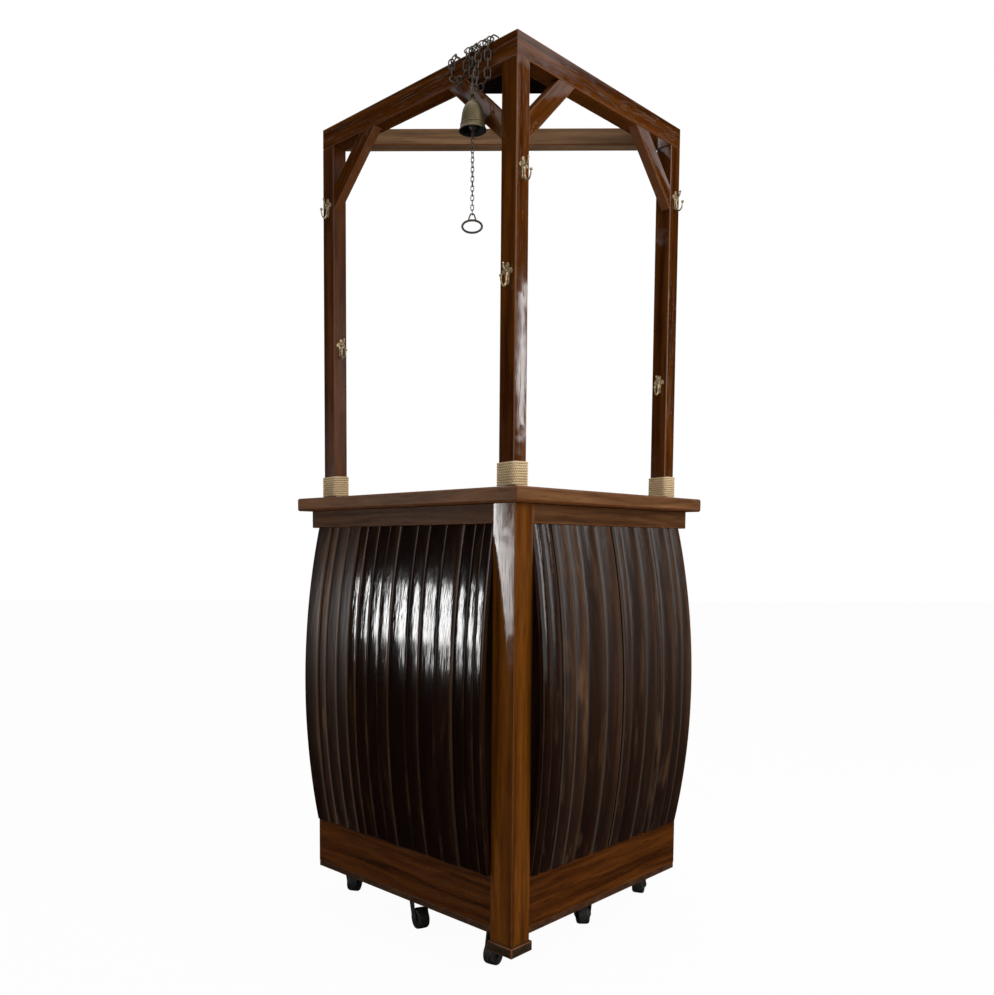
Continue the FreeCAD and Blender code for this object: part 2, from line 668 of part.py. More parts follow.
PULL_END = PULL_TOP - UP * (PULL_PITCH * PULL_LINKS)
HANDLE_PIVOT = PULL_END - UP * PULL_BITE


def eye(centre, axis, radius, wire):
    """Six-sided eye with a flat at the top and the bottom."""
    reach = UP * (-radius)
    half_side = radius * math.tan(math.radians(30))
    start = centre + reach
    first = start + axis.cross(UP) * half_side
    corners = [centre + Rotation(axis, 60.0 * n).multVec(first - centre) for n in range(6)]
    if corners[1].distanceToPoint(start) < corners[-1].distanceToPoint(start):
        corners = corners[:1] + corners[:0:-1]
    return bar_along([start] + corners + [start], wire / 2)


def bell():
    outer = [(BELL_MOUTH_RADIUS, 0), (BELL_WAIST_RADIUS, BELL_WAIST_HEIGHT),
             (BELL_SHOULDER_RADIUS, BELL_SHOULDER_HEIGHT), (BELL_CROWN_RADIUS, BELL_HEIGHT)]
    inner = [(radius - BELL_WALL, height - BELL_WALL) for radius, height in outer]
    inner[0] = (BELL_MOUTH_RADIUS - BELL_WALL, 0)
    body = turned(outer, BELL_MOUTH, BELL_SIDES).cut(turned(inner, BELL_MOUTH, BELL_SIDES))
    stem = bar_along([BELL_TOP - UP * (BELL_WALL / 2), BELL_TOP + UP * BELL_STEM], BELL_EYE_WIRE / 2)
    ring = eye(EYE_CENTRE, SWING_AXIS, BELL_EYE_RADIUS, BELL_EYE_WIRE)
    reach = SWING_AXIS * (STAPLE_SPAN / 2)
    rise = UP * (STAPLE_DROP + BELL_WALL / 2)
    line = [STAPLE - reach + rise, STAPLE - reach, STAPLE + reach, STAPLE + reach + rise]
    staple = bar_along(line, STAPLE_WIRE / 2)
    return body.fuse([stem, ring, staple]).removeSplitter()


def clapper():
    head_radius = (STAPLE_WIRE + CLAPPER_EYE_WIRE) / 2 + PULL_PLAY
    head = eye(STAPLE, SWING_AXIS, head_radius, CLAPPER_EYE_WIRE)
    foot = eye(CLAPPER_FOOT, SWING_AXIS, CLAPPER_EYE_RADIUS, CLAPPER_EYE_WIRE)
    rise = CLAPPER_LENGTH - head_radius - CLAPPER_EYE_RADIUS
    flat = CLAPPER_BALL * math.tan(math.radians(22.5))
    rod = CLAPPER_ROD / 2
    profile = [(flat, 0), (CLAPPER_BALL, CLAPPER_BALL - flat), (CLAPPER_BALL, CLAPPER_BALL + flat),
               (flat, 2 * CLAPPER_BALL), (rod, 2 * CLAPPER_BALL), (rod, rise)]
    body = turned(profile, CLAPPER_FOOT + UP * CLAPPER_EYE_RADIUS, CLAPPER_SIDES)
    return body.fuse([head, foot]).removeSplitter()


def pull_chain():
    joints = [PULL_TOP - UP * (PULL_PITCH * n) for n in range(PULL_LINKS + 1)]
    twist = -math.degrees(SWING_AXIS.getAngle(HANDLE_AXIS)) / (PULL_LINKS - 1)
    return chain(joints, SWING_AXIS, twist, PULL_WIRE, PULL_WIDTH, PULL_PLAY, PULL_SIDES)


def pull_handle():
    """Oval hand ring under a small tapered loop, flat to the front."""
    across = Vector(1, 0, 0)
    top = HANDLE_PIVOT + UP * ((PULL_WIRE + HANDLE_LOOP_WIRE) / 2 + PULL_PLAY)
    base = top - UP * HANDLE_LOOP_HEIGHT
    wide, narrow = across * (HANDLE_LOOP_WIDTH / 2), across * (HANDLE_LOOP_TOP / 2)
    loop = bar_along([base, base - wide, top - narrow, top + narrow, base + wide, base], HANDLE_LOOP_WIRE / 2)
    half_wide = across * ((HANDLE_WIDTH - HANDLE_WIRE) / 2)
    half_tall = (HANDLE_HEIGHT - HANDLE_WIRE) / 2
    centre = base - UP * half_tall
    oval = []
    for step in range(13):
        turn = math.radians(30.0 * step)
        oval.append(centre + half_wide * math.sin(turn) + UP * (half_tall * math.cos(turn)))
    oval = [(oval[0] + oval[1]) / 2] + oval[1:] + [(oval[0] + oval[1]) / 2]
    return loop.fuse(bar_along(oval, HANDLE_WIRE / 2)).removeSplitter()


# Casters: plate with ball race and kingpin, swivelling fork with its axle, and wheel
RACE_TOP = BOARD_UNDERSIDE - CASTER_PLATE_THICK
RACE_FOOT = RACE_TOP - CASTER_RACE_TALL
CROWN_TOP = RACE_FOOT - CASTER_GAP
CROWN_FOOT = CROWN_TOP - FORK_THICK
NUT_TOP = CROWN_FOOT - CASTER_GAP
LEG_INNER = WHEEL_WIDTH / 2 + WHEEL_SIDE_CLEAR
LEG_OUTER = LEG_INNER + FORK_THICK


def caster_sites():
    return {"front": spot(LEFT, FRONT_CASTER_ALONG, FRONT_CASTER_INSET),
            "left_mid": spot(LEFT, MID_CASTER_ALONG, MID_CASTER_INSET),
            "left_far": spot(LEFT, FAR_CASTER_ALONG, FAR_CASTER_INSET),
            "right_mid": spot(RIGHT, MID_CASTER_ALONG, MID_CASTER_INSET),
            "right_far": spot(RIGHT, FAR_CASTER_ALONG, FAR_CASTER_INSET)}


def caster_plate():
    half = CASTER_PLATE / 2
    plate = Part.makeBox(CASTER_PLATE, CASTER_PLATE, CASTER_PLATE_THICK, Vector(-half, -half, RACE_TOP))
    plate.rotate(Vector(0, 0, 0), UP, 45)
    nut_foot = NUT_TOP - KINGPIN_NUT_TALL
    race = Part.makeCylinder(CASTER_RACE_RADIUS, CASTER_RACE_TALL, UP * RACE_FOOT)
    pin = Part.makeCylinder(KINGPIN_RADIUS, RACE_FOOT - NUT_TOP, UP * NUT_TOP)
    nut = bar_along([UP * NUT_TOP, UP * nut_foot], KINGPIN_NUT_RADIUS)
    return plate.fuse([race, pin, nut]).removeSplitter()


def caster_fork():
    """Fork that trails along x: a bored crown, a tapered leg on each side of the wheel and the axle."""
    half = FORK_CROWN_RADIUS
    web = Part.makeBox(2 * half, 2 * LEG_OUTER, FORK_THICK, Vector(-half, -LEG_OUTER, CROWN_FOOT))
    cheek = FORK_AXLE_RADIUS * math.tan(math.radians(22.5))
    x, z, r = CASTER_TRAIL, WHEEL_RADIUS, FORK_AXLE_RADIUS
    outline = [(-half, CROWN_TOP), (half, CROWN_TOP), (x + r, z + cheek), (x + r, z - cheek),
               (x + cheek, z - r), (x - cheek, z - r), (x - r, z - cheek)]
    points = [Vector(px, -LEG_OUTER, pz) for px, pz in outline]
    leg = Part.Face(Part.makePolygon(points + [points[0]])).extrude(Vector(0, FORK_THICK, 0))
    other = leg.translated(Vector(0, LEG_INNER + LEG_OUTER, 0))
    fork = web.fuse([leg, other]).removeSplitter()
    fork = fork.cut(Part.makeCylinder(KINGPIN_RADIUS + FIT_CLEAR, FORK_THICK, UP * CROWN_FOOT))
    return fork.fuse(caster_axle()).removeSplitter()


def caster_axle():
    """Plain pin riveted between the fork's legs, with a six-sided head on each."""
    across = Vector(0, 1, 0)
    centre = Vector(CASTER_TRAIL, 0, WHEEL_RADIUS)
    pieces = [Part.makeCylinder(AXLE_RADIUS, 2 * LEG_INNER, centre - across * LEG_INNER, across)]
    for face in (-LEG_OUTER, LEG_OUTER):
        outer = face + math.copysign(AXLE_HEAD_TALL, face)
        pieces.append(bar_along([centre + across * face, centre + across * outer], AXLE_HEAD_RADIUS))
    return pieces


def caster_wheel():
    """Wheel that stands on one flat of its tread, with its shoulders taken off."""
    half = WHEEL_WIDTH / 2
    tread = WHEEL_RADIUS / math.cos(math.pi / WHEEL_SIDES)
    rim = tread - WHEEL_SHOULDER
    profile = [(rim, -half), (tread, WHEEL_SHOULDER - half), (tread, half - WHEEL_SHOULDER), (rim, half)]
    bore = Part.makeCylinder(AXLE_RADIUS + FIT_CLEAR, WHEEL_WIDTH, UP * (-half))
    wheel = turned(profile, Vector(0, 0, 0), WHEEL_SIDES).cut(bore)
    wheel.rotate(Vector(0, 0, 0), Vector(1, 0, 0), 90)
    return wheel.translated(Vector(CASTER_TRAIL, 0, WHEEL_RADIUS))


def main():
    os.makedirs("parts", exist_ok=True)
    save("corner_post", corner_post())
    save("pad_block", pad_block())
    save("bottom_board", bottom_board())
    save("shelf", shelf())
    save("back_rail", back_rail())
    for side in (LEFT, RIGHT):
        name = side_name(side)
        save("counter_top_" + name, top_board(side))
        save("skirt_" + name, skirt(side))
        save("apron_" + name, apron(side))
        save("end_panel_" + name, end_panel(side))
        save("lining_" + name, lining(side))
        save("canopy_beam_" + name, side_beam(side))
        save("front_brace_" + name, knee_brace(side, CANOPY_INNER, 1))
        save("end_brace_" + name, knee_brace(side, CANOPY_LENGTH - POST_SIZE, -1))
    save("upper_battens", upper_batten(LEFT), upper_batten(RIGHT))
    save("stave_cleats", stave_cleat(LEFT), stave_cleat(RIGHT))
    save("shelf_bearers", shelf_bearer(LEFT), shelf_bearer(RIGHT))
    save("staves_left", *stave_face(LEFT, LEFT_SHARES))
    save("staves_right", *stave_face(RIGHT, RIGHT_SHARES))
    save("canopy_beam_back", back_beam())
    save("corner_gusset", corner_gusset())

    posts = {"front": (LEFT, CANOPY_INSET), "left": (LEFT, CANOPY_LENGTH - POST_SIZE),
             "right": (RIGHT, CANOPY_LENGTH - POST_SIZE)}
    wraps = []
    for name, (side, along) in posts.items():
        save("canopy_post_" + name, canopy_post(along, CANOPY_INSET, side))
        path = rope_path(side, along, CANOPY_INSET)
        wraps.append(bar_along(path, ROPE / 2))
        print("rope wrap", name, "least gap between turns %.2f mm" % coil_gap(path))
    save("rope_wraps", *wraps)

    save("post_hooks", *hooks())
    save("beam_chain", *beam_chain())
    save("bell", bell())
    save("clapper", clapper())
    save("pull_chain", *pull_chain())
    save("pull_handle", pull_handle())

    sites = caster_sites()
    save("caster_plates", *[caster_plate().translated(site) for site in sites.values()])
    for name, site in sites.items():
        for piece, solid in (("fork", caster_fork()), ("wheel", caster_wheel())):
            solid.rotate(Vector(0, 0, 0), UP, CASTER_HEADINGS[name])
            save("caster_" + piece + "_" + name, solid.translated(site))

    print("plan shift %.3f" % PLAN_SHIFT, "link pitch %.3f" % LINK_PITCH)
    print("bell pivot", BELL_PIVOT, "staple", STAPLE, "pull pivot", PULL_PIVOT, "handle pivot", HANDLE_PIVOT)
    for name, site in sites.items():
        print("caster", name, site)


main()
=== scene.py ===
"""Looks of the corner bar counter: bowed staves under a rope-lashed canopy with hooks, chain and bell."""

import json
import math

import bmesh
import bpy
import numpy as np
from bpy.props import FloatProperty, FloatVectorProperty, PointerProperty
from mathutils import Euler, Matrix, Vector


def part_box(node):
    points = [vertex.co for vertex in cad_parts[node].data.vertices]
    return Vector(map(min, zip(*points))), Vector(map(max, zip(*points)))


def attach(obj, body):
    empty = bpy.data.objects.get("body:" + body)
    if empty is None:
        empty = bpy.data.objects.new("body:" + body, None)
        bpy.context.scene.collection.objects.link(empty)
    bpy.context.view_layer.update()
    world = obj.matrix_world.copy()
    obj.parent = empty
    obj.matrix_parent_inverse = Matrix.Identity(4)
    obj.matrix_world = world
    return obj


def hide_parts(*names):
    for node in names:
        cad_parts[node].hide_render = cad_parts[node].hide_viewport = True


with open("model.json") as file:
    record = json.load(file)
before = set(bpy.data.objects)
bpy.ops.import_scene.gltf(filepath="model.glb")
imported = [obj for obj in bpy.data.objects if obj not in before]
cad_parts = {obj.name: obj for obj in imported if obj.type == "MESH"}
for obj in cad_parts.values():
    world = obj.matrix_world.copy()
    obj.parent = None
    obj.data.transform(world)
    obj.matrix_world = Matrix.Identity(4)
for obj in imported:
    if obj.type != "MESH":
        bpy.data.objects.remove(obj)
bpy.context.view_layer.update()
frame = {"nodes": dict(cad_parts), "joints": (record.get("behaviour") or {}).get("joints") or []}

bl_info = {
    "name": "Corner Bar Counter",
    "version": (1, 0, 0),
    "blender": (4, 5, 0),
    "location": "3D View > Sidebar > Bar",
    "description": "Builds the finished pieces of a corner bar counter on its packed frame",
    "category": "Object",
}

COUNTER = "counter"
POSTS = ("front", "left", "right")
CASTERS = ("front", "left_mid", "left_far", "right_mid", "right_far")
JOINTS = {joint["name"]: joint for joint in frame["joints"]}

# Directions, and the headings of the boards of the two faces, which stand at 45 degrees to X
SIDE = Vector((1, 0, 0))
UP = Vector((0, 0, 1))
EIGHTH = math.pi / 4
QUARTER = math.pi / 2
HEADINGS = {"left": 3 * EIGHTH, "right": EIGHTH}
LEVEL, UPRIGHT = 0.0, QUARTER
STILL = Matrix.Identity(4)

# Camera of the photograph: place, turn in degrees against a level view along +Y, and the focal length and
# image centre in pixels of the photograph
IMAGE_WIDTH = 994.0
SENSOR_WIDTH = 36.0
CAMERA_PLACE = (-0.1668, -2.1518, 0.9228)
CAMERA_TURN = (4.081, 0.692, 0.18)
CAMERA_FOCAL = 912.64
CAMERA_CENTRE = (-74.59, 116.12)


def length(label, about, default):
    return FloatProperty(name=label, description=about, default=default, min=0.0, unit="LENGTH",
                         precision=4)


def tint(label, about, default):
    return FloatVectorProperty(name=label, description=about, default=default, subtype="COLOR", size=3,
                               min=0.0, max=1.0)


def fraction(label, about, default):
    return FloatProperty(name=label, description=about, default=default, subtype="FACTOR", min=0.0, max=1.0)


def wattage(label, about, default):
    return FloatProperty(name=label, description=about, default=default, min=0.0, unit="POWER")


def strength(label, about, default):
    return FloatProperty(name=label, description=about, default=default, min=0.0)


class BarSizes(bpy.types.PropertyGroup):
    """Sizes of the finished surfaces that the frame leaves open."""

    arris: length("Arris", "Softened edge of a planed board", 0.0011)
    metal_arris: length("Metal edge", "Softened edge of the caster metal", 0.0004)
    left_crown: length("Left stave crown", "Rise of a left stave's face between its edges", 0.0006)
    right_crown: length("Right stave crown", "Rise of a right stave's face between its edges", 0.0066)
    stave_edge: length("Stave edge", "Drop of a stave's face at its worn edges", 0.0024)
    stave_spread: fraction("Stave spread", "Lean to the post at the belly, as a share of distance", 0.019)
    stave_wave: length("Stave wave", "Unevenness of the hand-planed faces", 0.0012)
    rope: length("Rope", "Diameter of the lashing rope", 0.0058)
    rope_lay: length("Rope lay", "Length of one turn of the rope's strands", 0.0165)
    post_half: length("Post half", "Half the side of a canopy post", 0.021)
    link_wire: length("Link wire", "Thickness of the beam chain's wire", 0.0030)
    link_width: length("Link width", "Outer width of a beam chain link", 0.016)
    pull_wire: length("Pull wire", "Thickness of the pull chain's wire", 0.0018)
    pull_width: length("Pull width", "Outer width of a pull chain link", 0.008)
    hook_size: fraction("Hook size", "Share of a hook's full size", 1.0)
    wheel_radius: length("Wheel radius", "Radius of a caster wheel", 0.025)
    wheel_width: length("Wheel width", "Width of a caster wheel", 0.030)
    bell_wall: length("Bell wall", "Thickness of the bell's wall", 0.003)


class BarColours(bpy.types.PropertyGroup):
    """Base colours of the finishes."""

    stave_black: tint("Stave black", "Darkest stave varnish", (0.0058, 0.0017, 0.0011))
    stave_brown: tint("Stave brown", "Lightest stave varnish", (0.094, 0.040, 0.016))
    # The stave rim colour is a painted highlight: the light edge that a stave shows where it catches the
    # light
    stave_rim_highlight: tint("Stave rim", "Dry light edge of a brown stave", (0.125, 0.086, 0.060))
    frame_dark: tint("Frame dark", "Dark grain of the corner post", (0.044, 0.0105, 0.0010))
    frame_light: tint("Frame light", "Light grain of the corner post", (0.195, 0.062, 0.0070))
    deep_dark: tint("Deep dark", "Dark grain of the canopy and the skirts", (0.021, 0.0040, 0.0004))
    deep_light: tint("Deep light", "Light grain of the canopy and the skirts", (0.128, 0.036, 0.0036))
    top_dark: tint("Top dark", "Dark grain of the counter top", (0.072, 0.027, 0.009))
    top_light: tint("Top light", "Light grain of the counter top", (0.240, 0.107, 0.040))
    apron_dark: tint("Apron dark", "Dark grain of the aprons", (0.041, 0.0145, 0.0045))
    apron_light: tint("Apron light", "Light grain of the aprons", (0.140, 0.059, 0.021))
    # The back beam's colours are lightened as a painted sheen: they stand in for the pale sheen that falls
    # on the beam from above
    rail_dark: tint("Rail dark", "Dark grain of the back beam", (0.085, 0.044, 0.021))
    rail_light: tint("Rail light", "Light grain of the back beam", (0.285, 0.165, 0.086))
    inner_dark: tint("Inner dark", "Dark grain of the inside boards", (0.026, 0.011, 0.005))
    inner_light: tint("Inner light", "Light grain of the inside boards", (0.095, 0.043, 0.020))
    # The gusset colours are painted shade: the gusset is made nearly black because it sits in shadow under
    # the corner of the beams
    gusset_dark: tint("Gusset dark", "Dark grain of the corner gusset", (0.0035, 0.0018, 0.0012))
    gusset_light: tint("Gusset light", "Light grain of the corner gusset", (0.0110, 0.0060, 0.0040))
    pad_dark: tint("Pad dark", "Dark grain of the foot pad", (0.015, 0.008, 0.004))
    pad_light: tint("Pad light", "Worn grain of the foot pad", (0.052, 0.031, 0.016))
    worn: tint("Worn arris", "Wood where the varnish has rubbed away", (0.20, 0.105, 0.046))
    # The rope colours paint light and shade: paler on the lit crowns of the strands, darker in the shaded
    # hollows between them
    rope_dark: tint("Rope dark", "Hollows of the rope", (0.370, 0.255, 0.125))
    rope_light: tint("Rope light", "Crowns of the rope", (0.980, 0.770, 0.480))
    brass: tint("Brass", "Bright hook brass", (0.74, 0.57, 0.33))
    brass_dark: tint("Brass tarnish", "Tarnish in the hook's hollows", (0.070, 0.042, 0.016))
    bronze: tint("Bronze", "Bell bronze", (0.100, 0.076, 0.036))
    bronze_dark: tint("Bronze patina", "Dark patina of the bell", (0.022, 0.017, 0.009))
    # The bell's inside colour is painted shade: the hollow of the bell is made nearly black because it lies
    # in shadow
    hollow_shade: tint("Soot", "Dark inside of the bell", (0.004, 0.003, 0.0025))
    iron: tint("Iron", "Chain iron", (0.085, 0.068, 0.054))
    rust: tint("Rust", "Rust on the chain", (0.040, 0.021, 0.010))
    caster_iron: tint("Caster iron", "Dull caster metal", (0.105, 0.10, 0.085))
    tyre: tint("Wheel", "Hard dark wheel", (0.013, 0.012, 0.010))


class BarLight(bpy.types.PropertyGroup):
    """Levels of the studio light."""

    fill: fraction("Fill", "Even light from all round", 0.46)
    key: wattage("Key", "Soft light from the right", 95.0)
    overhead: wattage("Overhead", "Soft light from above", 30.0)
    window_left: wattage("Left window", "Narrow light mirrored in the left staves", 10.5)
    window_post: wattage("Post window", "Narrow light mirrored in the corner post", 4.6)
    window_right: wattage("Right window", "Narrow light mirrored in the front canopy post", 4.2)
    far_wall: strength("Far wall", "Dim wall mirrored in the right staves", 0.22)
    flag: strength("Flags", "Dark panels that keep the mirrored room from the varnish", 0.008)
    floor: fraction("Floor", "Share of plain white in the floor", 0.965)


class Term:
    """A node tree output that takes part in Python arithmetic: each operator adds one Math node."""

    def __init__(self, graph, socket):
        self.graph = graph
        self.socket = socket

    def math(self, operation, *others):
        sockets = dict(enumerate((self,) + others))
        return self.graph.node("ShaderNodeMath", {"operation": operation}, sockets)

    def __add__(self, other):
        return self.math("ADD", other)

    __radd__ = __add__

    def __mul__(self, other):
        return self.math("MULTIPLY", other)

    __rmul__ = __mul__

    def __sub__(self, other):
        return self.math("SUBTRACT", other)

    def __rsub__(self, other):
        return self * -1.0 + other

    def step(self, low, high):
        """0 below low, 1 above high, smooth between."""
        settings = {"interpolation_type": "SMOOTHSTEP"}
        sockets = {"Value": self, "From Min": low, "From Max": high}
        return self.graph.node("ShaderNodeMapRange", settings, sockets)


class Graph:
    """A node tree under way."""

    def __init__(self, tree):
        self.tree = tree
        tree.nodes.clear()

    @staticmethod
    def pick(sockets, key):
        if isinstance(key, int):
            return sockets[key]
        for socket in sockets:
            if socket.enabled and key in (socket.identifier, socket.name):
                return socket
        raise KeyError(key)

    def plug(self, value, socket):
        if isinstance(value, Term):
            self.tree.links.new(value.socket, socket)
        elif socket.type == "RGBA":
            socket.default_value = (*value, 1.0)
        else:
            socket.default_value = value

    def node(self, kind, settings=None, sockets=None, output=0):
        """Adds a node: its settings first, then its input values and links. Returns one output."""
        node = self.tree.nodes.new(kind)
        for name, value in (settings or {}).items():
            setattr(node, name, value)
        for key, value in (sockets or {}).items():
            self.plug(value, self.pick(node.inputs, key))
        return Term(self, self.pick(node.outputs, output)) if node.outputs else node

    def vector(self, operation, *terms):
        return self.node("ShaderNodeVectorMath", {"operation": operation}, dict(enumerate(terms)))

    def scaled(self, vector, factor):
        sockets = {"Vector": vector, "Scale": factor}
        return self.node("ShaderNodeVectorMath", {"operation": "SCALE"}, sockets)

    def dot(self, first, second):
        sockets = {0: first, 1: second}
        return self.node("ShaderNodeVectorMath", {"operation": "DOT_PRODUCT"}, sockets, "Value")

    def join(self, x, y, z):
        return self.node("ShaderNodeCombineXYZ", None, {0: x, 1: y, 2: z})

    def part(self, vector, axis):
        return self.node("ShaderNodeSeparateXYZ", None, {0: vector}, "XYZ".index(axis))

    def noise(self, place, stretch, detail, rough, twist=0.0):
        sockets = {"Vector": self.vector("MULTIPLY", place, stretch), "Scale": 1.0, "Detail": detail,
                   "Roughness": rough, "Distortion": twist}
        return self.node("ShaderNodeTexNoise", None, sockets)

    def blend(self, share, first, second):
        sockets = {"Factor_Float": share, "A_Color": first, "B_Color": second}
        return self.node("ShaderNodeMix", {"data_type": "RGBA"}, sockets, "Result_Color")


class Finish(Graph):
    """A material under way, ending in one Principled shader."""

    def __init__(self, name):
        self.material = bpy.data.materials.new(name)
        self.material.use_nodes = True
        super().__init__(self.material.node_tree)
        self.place = self.node("ShaderNodeTexCoord", output="Object")

    def own(self, name):
        return self.node("ShaderNodeAttribute", {"attribute_name": name}, output="Fac")

    def colour(self, name, share=1.0):
        """A base colour, or a darker share of it."""
        return tuple(share * part for part in getattr(bpy.context.scene.bar_colours, name))

    def even(self, scale, detail, rough):
        """Noise of one scale in all directions."""
        return self.noise(self.place, (scale, scale, scale), detail, rough)

    def relief(self, height, depth):
        return self.node("ShaderNodeBump", None, {"Height": height, "Distance": depth})

    def closed(self, specular, base, rough, relief, metal=0.0):
        sockets = {"Specular IOR Level": specular, "Base Color": base, "Roughness": rough, "Normal": relief,
                   "Metallic": metal}
        shader = self.node("ShaderNodeBsdfPrincipled", None, sockets)
        self.node("ShaderNodeOutputMaterial", None, {"Surface": shader})
        return self.material


kept_finishes = {}


def kept(maker):
    """Makes a finish once for each set of arguments."""
    def made(*details):
        key = (maker.__name__,) + details
        if key not in kept_finishes:
            kept_finishes[key] = maker(*details)
        return kept_finishes[key]
    return made


def grain_place(finish, heading, lean):
    """Object coordinates turned so that z runs with the grain, moved apart from board to board."""
    sockets = {"Vector": finish.place, "Rotation": (0.0, QUARTER - lean, heading)}
    turned = finish.node("ShaderNodeMapping", {"vector_type": "TEXTURE"}, sockets)
    seed = finish.own("grain_seed")
    return finish.vector("ADD", turned, finish.join(seed * 1.7, seed * 0.9, seed * 3.1))


@kept
def planed_wood(kind, heading, lean, shine):
    """Varnished straight-grained wood with wandering growth rings, pores and a slightly uneven film."""
    dark, light = kind + "_dark", kind + "_light"
    details = math.degrees(heading), math.degrees(lean), 100 * shine
    finish = Finish(kind + "_wood_%03d_%03d_%03d" % details)
    place = grain_place(finish, heading, lean)
    wander = finish.noise(place, (14, 14, 2.2), 3.0, 0.55)
    rings = (finish.part(place, "X") * 260.0 + wander * 26.0).math("SINE") * 0.5 + 0.5
    broad = finish.noise(place, (46, 46, 1.9), 3.0, 0.6)
    fibre = finish.noise(place, (560, 560, 9), 2.0, 0.6)
    pores = finish.noise(place, (520, 520, 17), 1.0, 0.5).step(0.60, 0.72)
    tone = (broad.step(0.30, 0.70) * 0.52 + rings * 0.26 + fibre * 0.30) - 0.03
    base = finish.blend(tone, finish.colour(dark), finish.colour(light))
    base = finish.blend(pores * 0.55, base, finish.colour(dark, 0.35))
    stain = finish.noise(place, (17, 17, 2.4), 4.0, 0.62, 0.3)
    base = finish.blend(stain.step(0.45, 0.78) * 0.52, base, finish.colour(dark, 0.8))
    film = finish.even(9, 2.0, 0.5)
    wear = finish.even(31, 4.0, 0.6)
    rough = 0.45 - 0.385 * shine + fibre * 0.04 + wear.step(0.5, 0.8) * 0.06
    relief = finish.relief(fibre * 0.05 - pores * 0.10 + wander * 0.4 + film * 2.6, 0.0011)
    return finish.closed(0.5 * shine, base, rough, relief)


# Gloss left on each kind of wood, and on single boards whose varnish has dulled
SHINE = {"frame": 0.85, "deep": 1.0, "top": 0.12, "apron": 0.08, "rail": 0.12, "inner": 0.45, "gusset": 0.2,
         "pad": 0.3}
SKIRT_SHINE = 0.6
LEFT_POST_SHINE = 0.4


def wood(kind, heading=0.0, lean=LEVEL, shine=None):
    return planed_wood(kind, heading, lean, SHINE[kind] if shine is None else shine)


@kept
def worn_wood():
    """Rubbed edge of a board: pale where the varnish has gone."""
    finish = Finish("worn_wood")
    patches = finish.noise(finish.place, (34, 34, 26), 4.0, 0.65)
    fine = finish.even(240, 2.0, 0.5)
    share = (patches + fine * 0.35 - 0.16).step(0.50, 0.95)
    base = finish.blend(share, finish.colour("deep_light"), finish.colour("worn"))
    return finish.closed(0.3, base, 0.38 + fine * 0.2, finish.relief(fine, 0.0004))


# Stave varnishes: specular level, and the roughness that a brown stave adds
STAVE_VARNISH = {"stave_wood": (0.5, 0.0), "stave_wood_dull": (0.16, 0.25), "stave_wood_dry": (0.30, 0.25)}


@kept
def stave_wood(name):
    """Nearly black varnish over brown staves, rubbed through on some, with a hand-planed ripple; painted
    shade low down and on each stave's left, and a painted highlight on its edges.
    """
    specular, dryness = STAVE_VARNISH[name]
    finish = Finish(name)
    place = grain_place(finish, 0.0, UPRIGHT)
    tone = finish.own("stave_tone")
    broad = finish.noise(place, (60, 60, 1.7), 3.0, 0.6)
    streak = finish.noise(place, (190, 190, 2.4), 3.0, 0.6)
    fibre = finish.noise(place, (600, 600, 10), 2.0, 0.6)
    uneven = broad.step(0.40, 0.74) * 0.60 + streak.step(0.5, 0.85) * 0.25 - 0.16
    share = tone * 0.75 + uneven * (tone + 0.08) + fibre * 0.05 - 0.03
    # Painted shade: each stave is darker towards its foot, where its bowed face turns down from the light
    painted_foot_shade = finish.part(finish.place, "Z").step(0.15, 0.85) * 0.55 + 0.45
    # Painted shade and light across each stave: darker on its left side and lighter on its right, as if lit
    # from the right
    across = finish.own("stave_across")
    share = share * painted_foot_shade * (across * across * 1.5 + 0.45)
    base = finish.blend(share, finish.colour("stave_black"), finish.colour("stave_brown"))
    edge = finish.own("stave_edge")
    rubbed = edge * finish.noise(finish.place, (40, 40, 9), 3.0, 0.6).step(0.46, 0.62)
    patch = finish.noise(place, (30, 30, 5.0), 3.0, 0.6).step(0.56, 0.72)
    base = finish.blend(rubbed * 0.10 + patch * tone * 0.46, base, finish.colour("worn"))
    # Painted highlight: the edge strips of the browner staves are lightened as if they catch the light
    base = finish.blend(edge * tone * 0.9, base, finish.colour("stave_rim_highlight"))
    rough = 0.07 + streak * 0.07 + fibre * 0.03 + tone.step(0.14, 0.40) * dryness
    ripple = finish.noise(place, (44, 44, 5.5), 3.0, 0.55)
    relief = finish.relief(ripple * 1.2 + streak * 0.20 + fibre * 0.03, 0.0013)
    return finish.closed(specular, base, rough, relief)


@kept
def rope_fibre():
    """Dry hard-laid rope with fine fibres; its pale crowns and brown hollows are painted light and shade.
    """
    finish = Finish("rope")
    fibre = finish.even(900, 3.0, 0.7)
    patches = finish.even(90, 2.0, 0.5)
    # Painted light and shade: paler on the strand crowns, darker in the hollows between strands
    share = finish.own("strand_crown") * 0.72 + fibre * 0.5 + patches * 0.34 - 0.26
    base = finish.blend(share.step(0.0, 1.0), finish.colour("rope_dark"), finish.colour("rope_light"))
    return finish.closed(0.2, base, 0.82 + fibre * 0.12, finish.relief(fibre, 0.0006))


# Metals: bright and dull colour, roughness, share of dull cover, and metal share of the bright parts
METALS = {"rusty_iron": ("iron", "rust", 0.34, 0.22, 0.7),
          "hook_brass": ("brass", "brass_dark", 0.24, 0.32, 0.8),
          "bell_bronze": ("bronze", "bronze_dark", 0.30, 0.16, 0.8),
          # bell_hollow is painted shade: a nearly black finish for the inside of the bell
          "bell_hollow": ("hollow_shade", "hollow_shade", 0.6, 0.3, 0.2),
          "caster_metal": ("caster_iron", "rust", 0.38, 0.06, 0.7)}


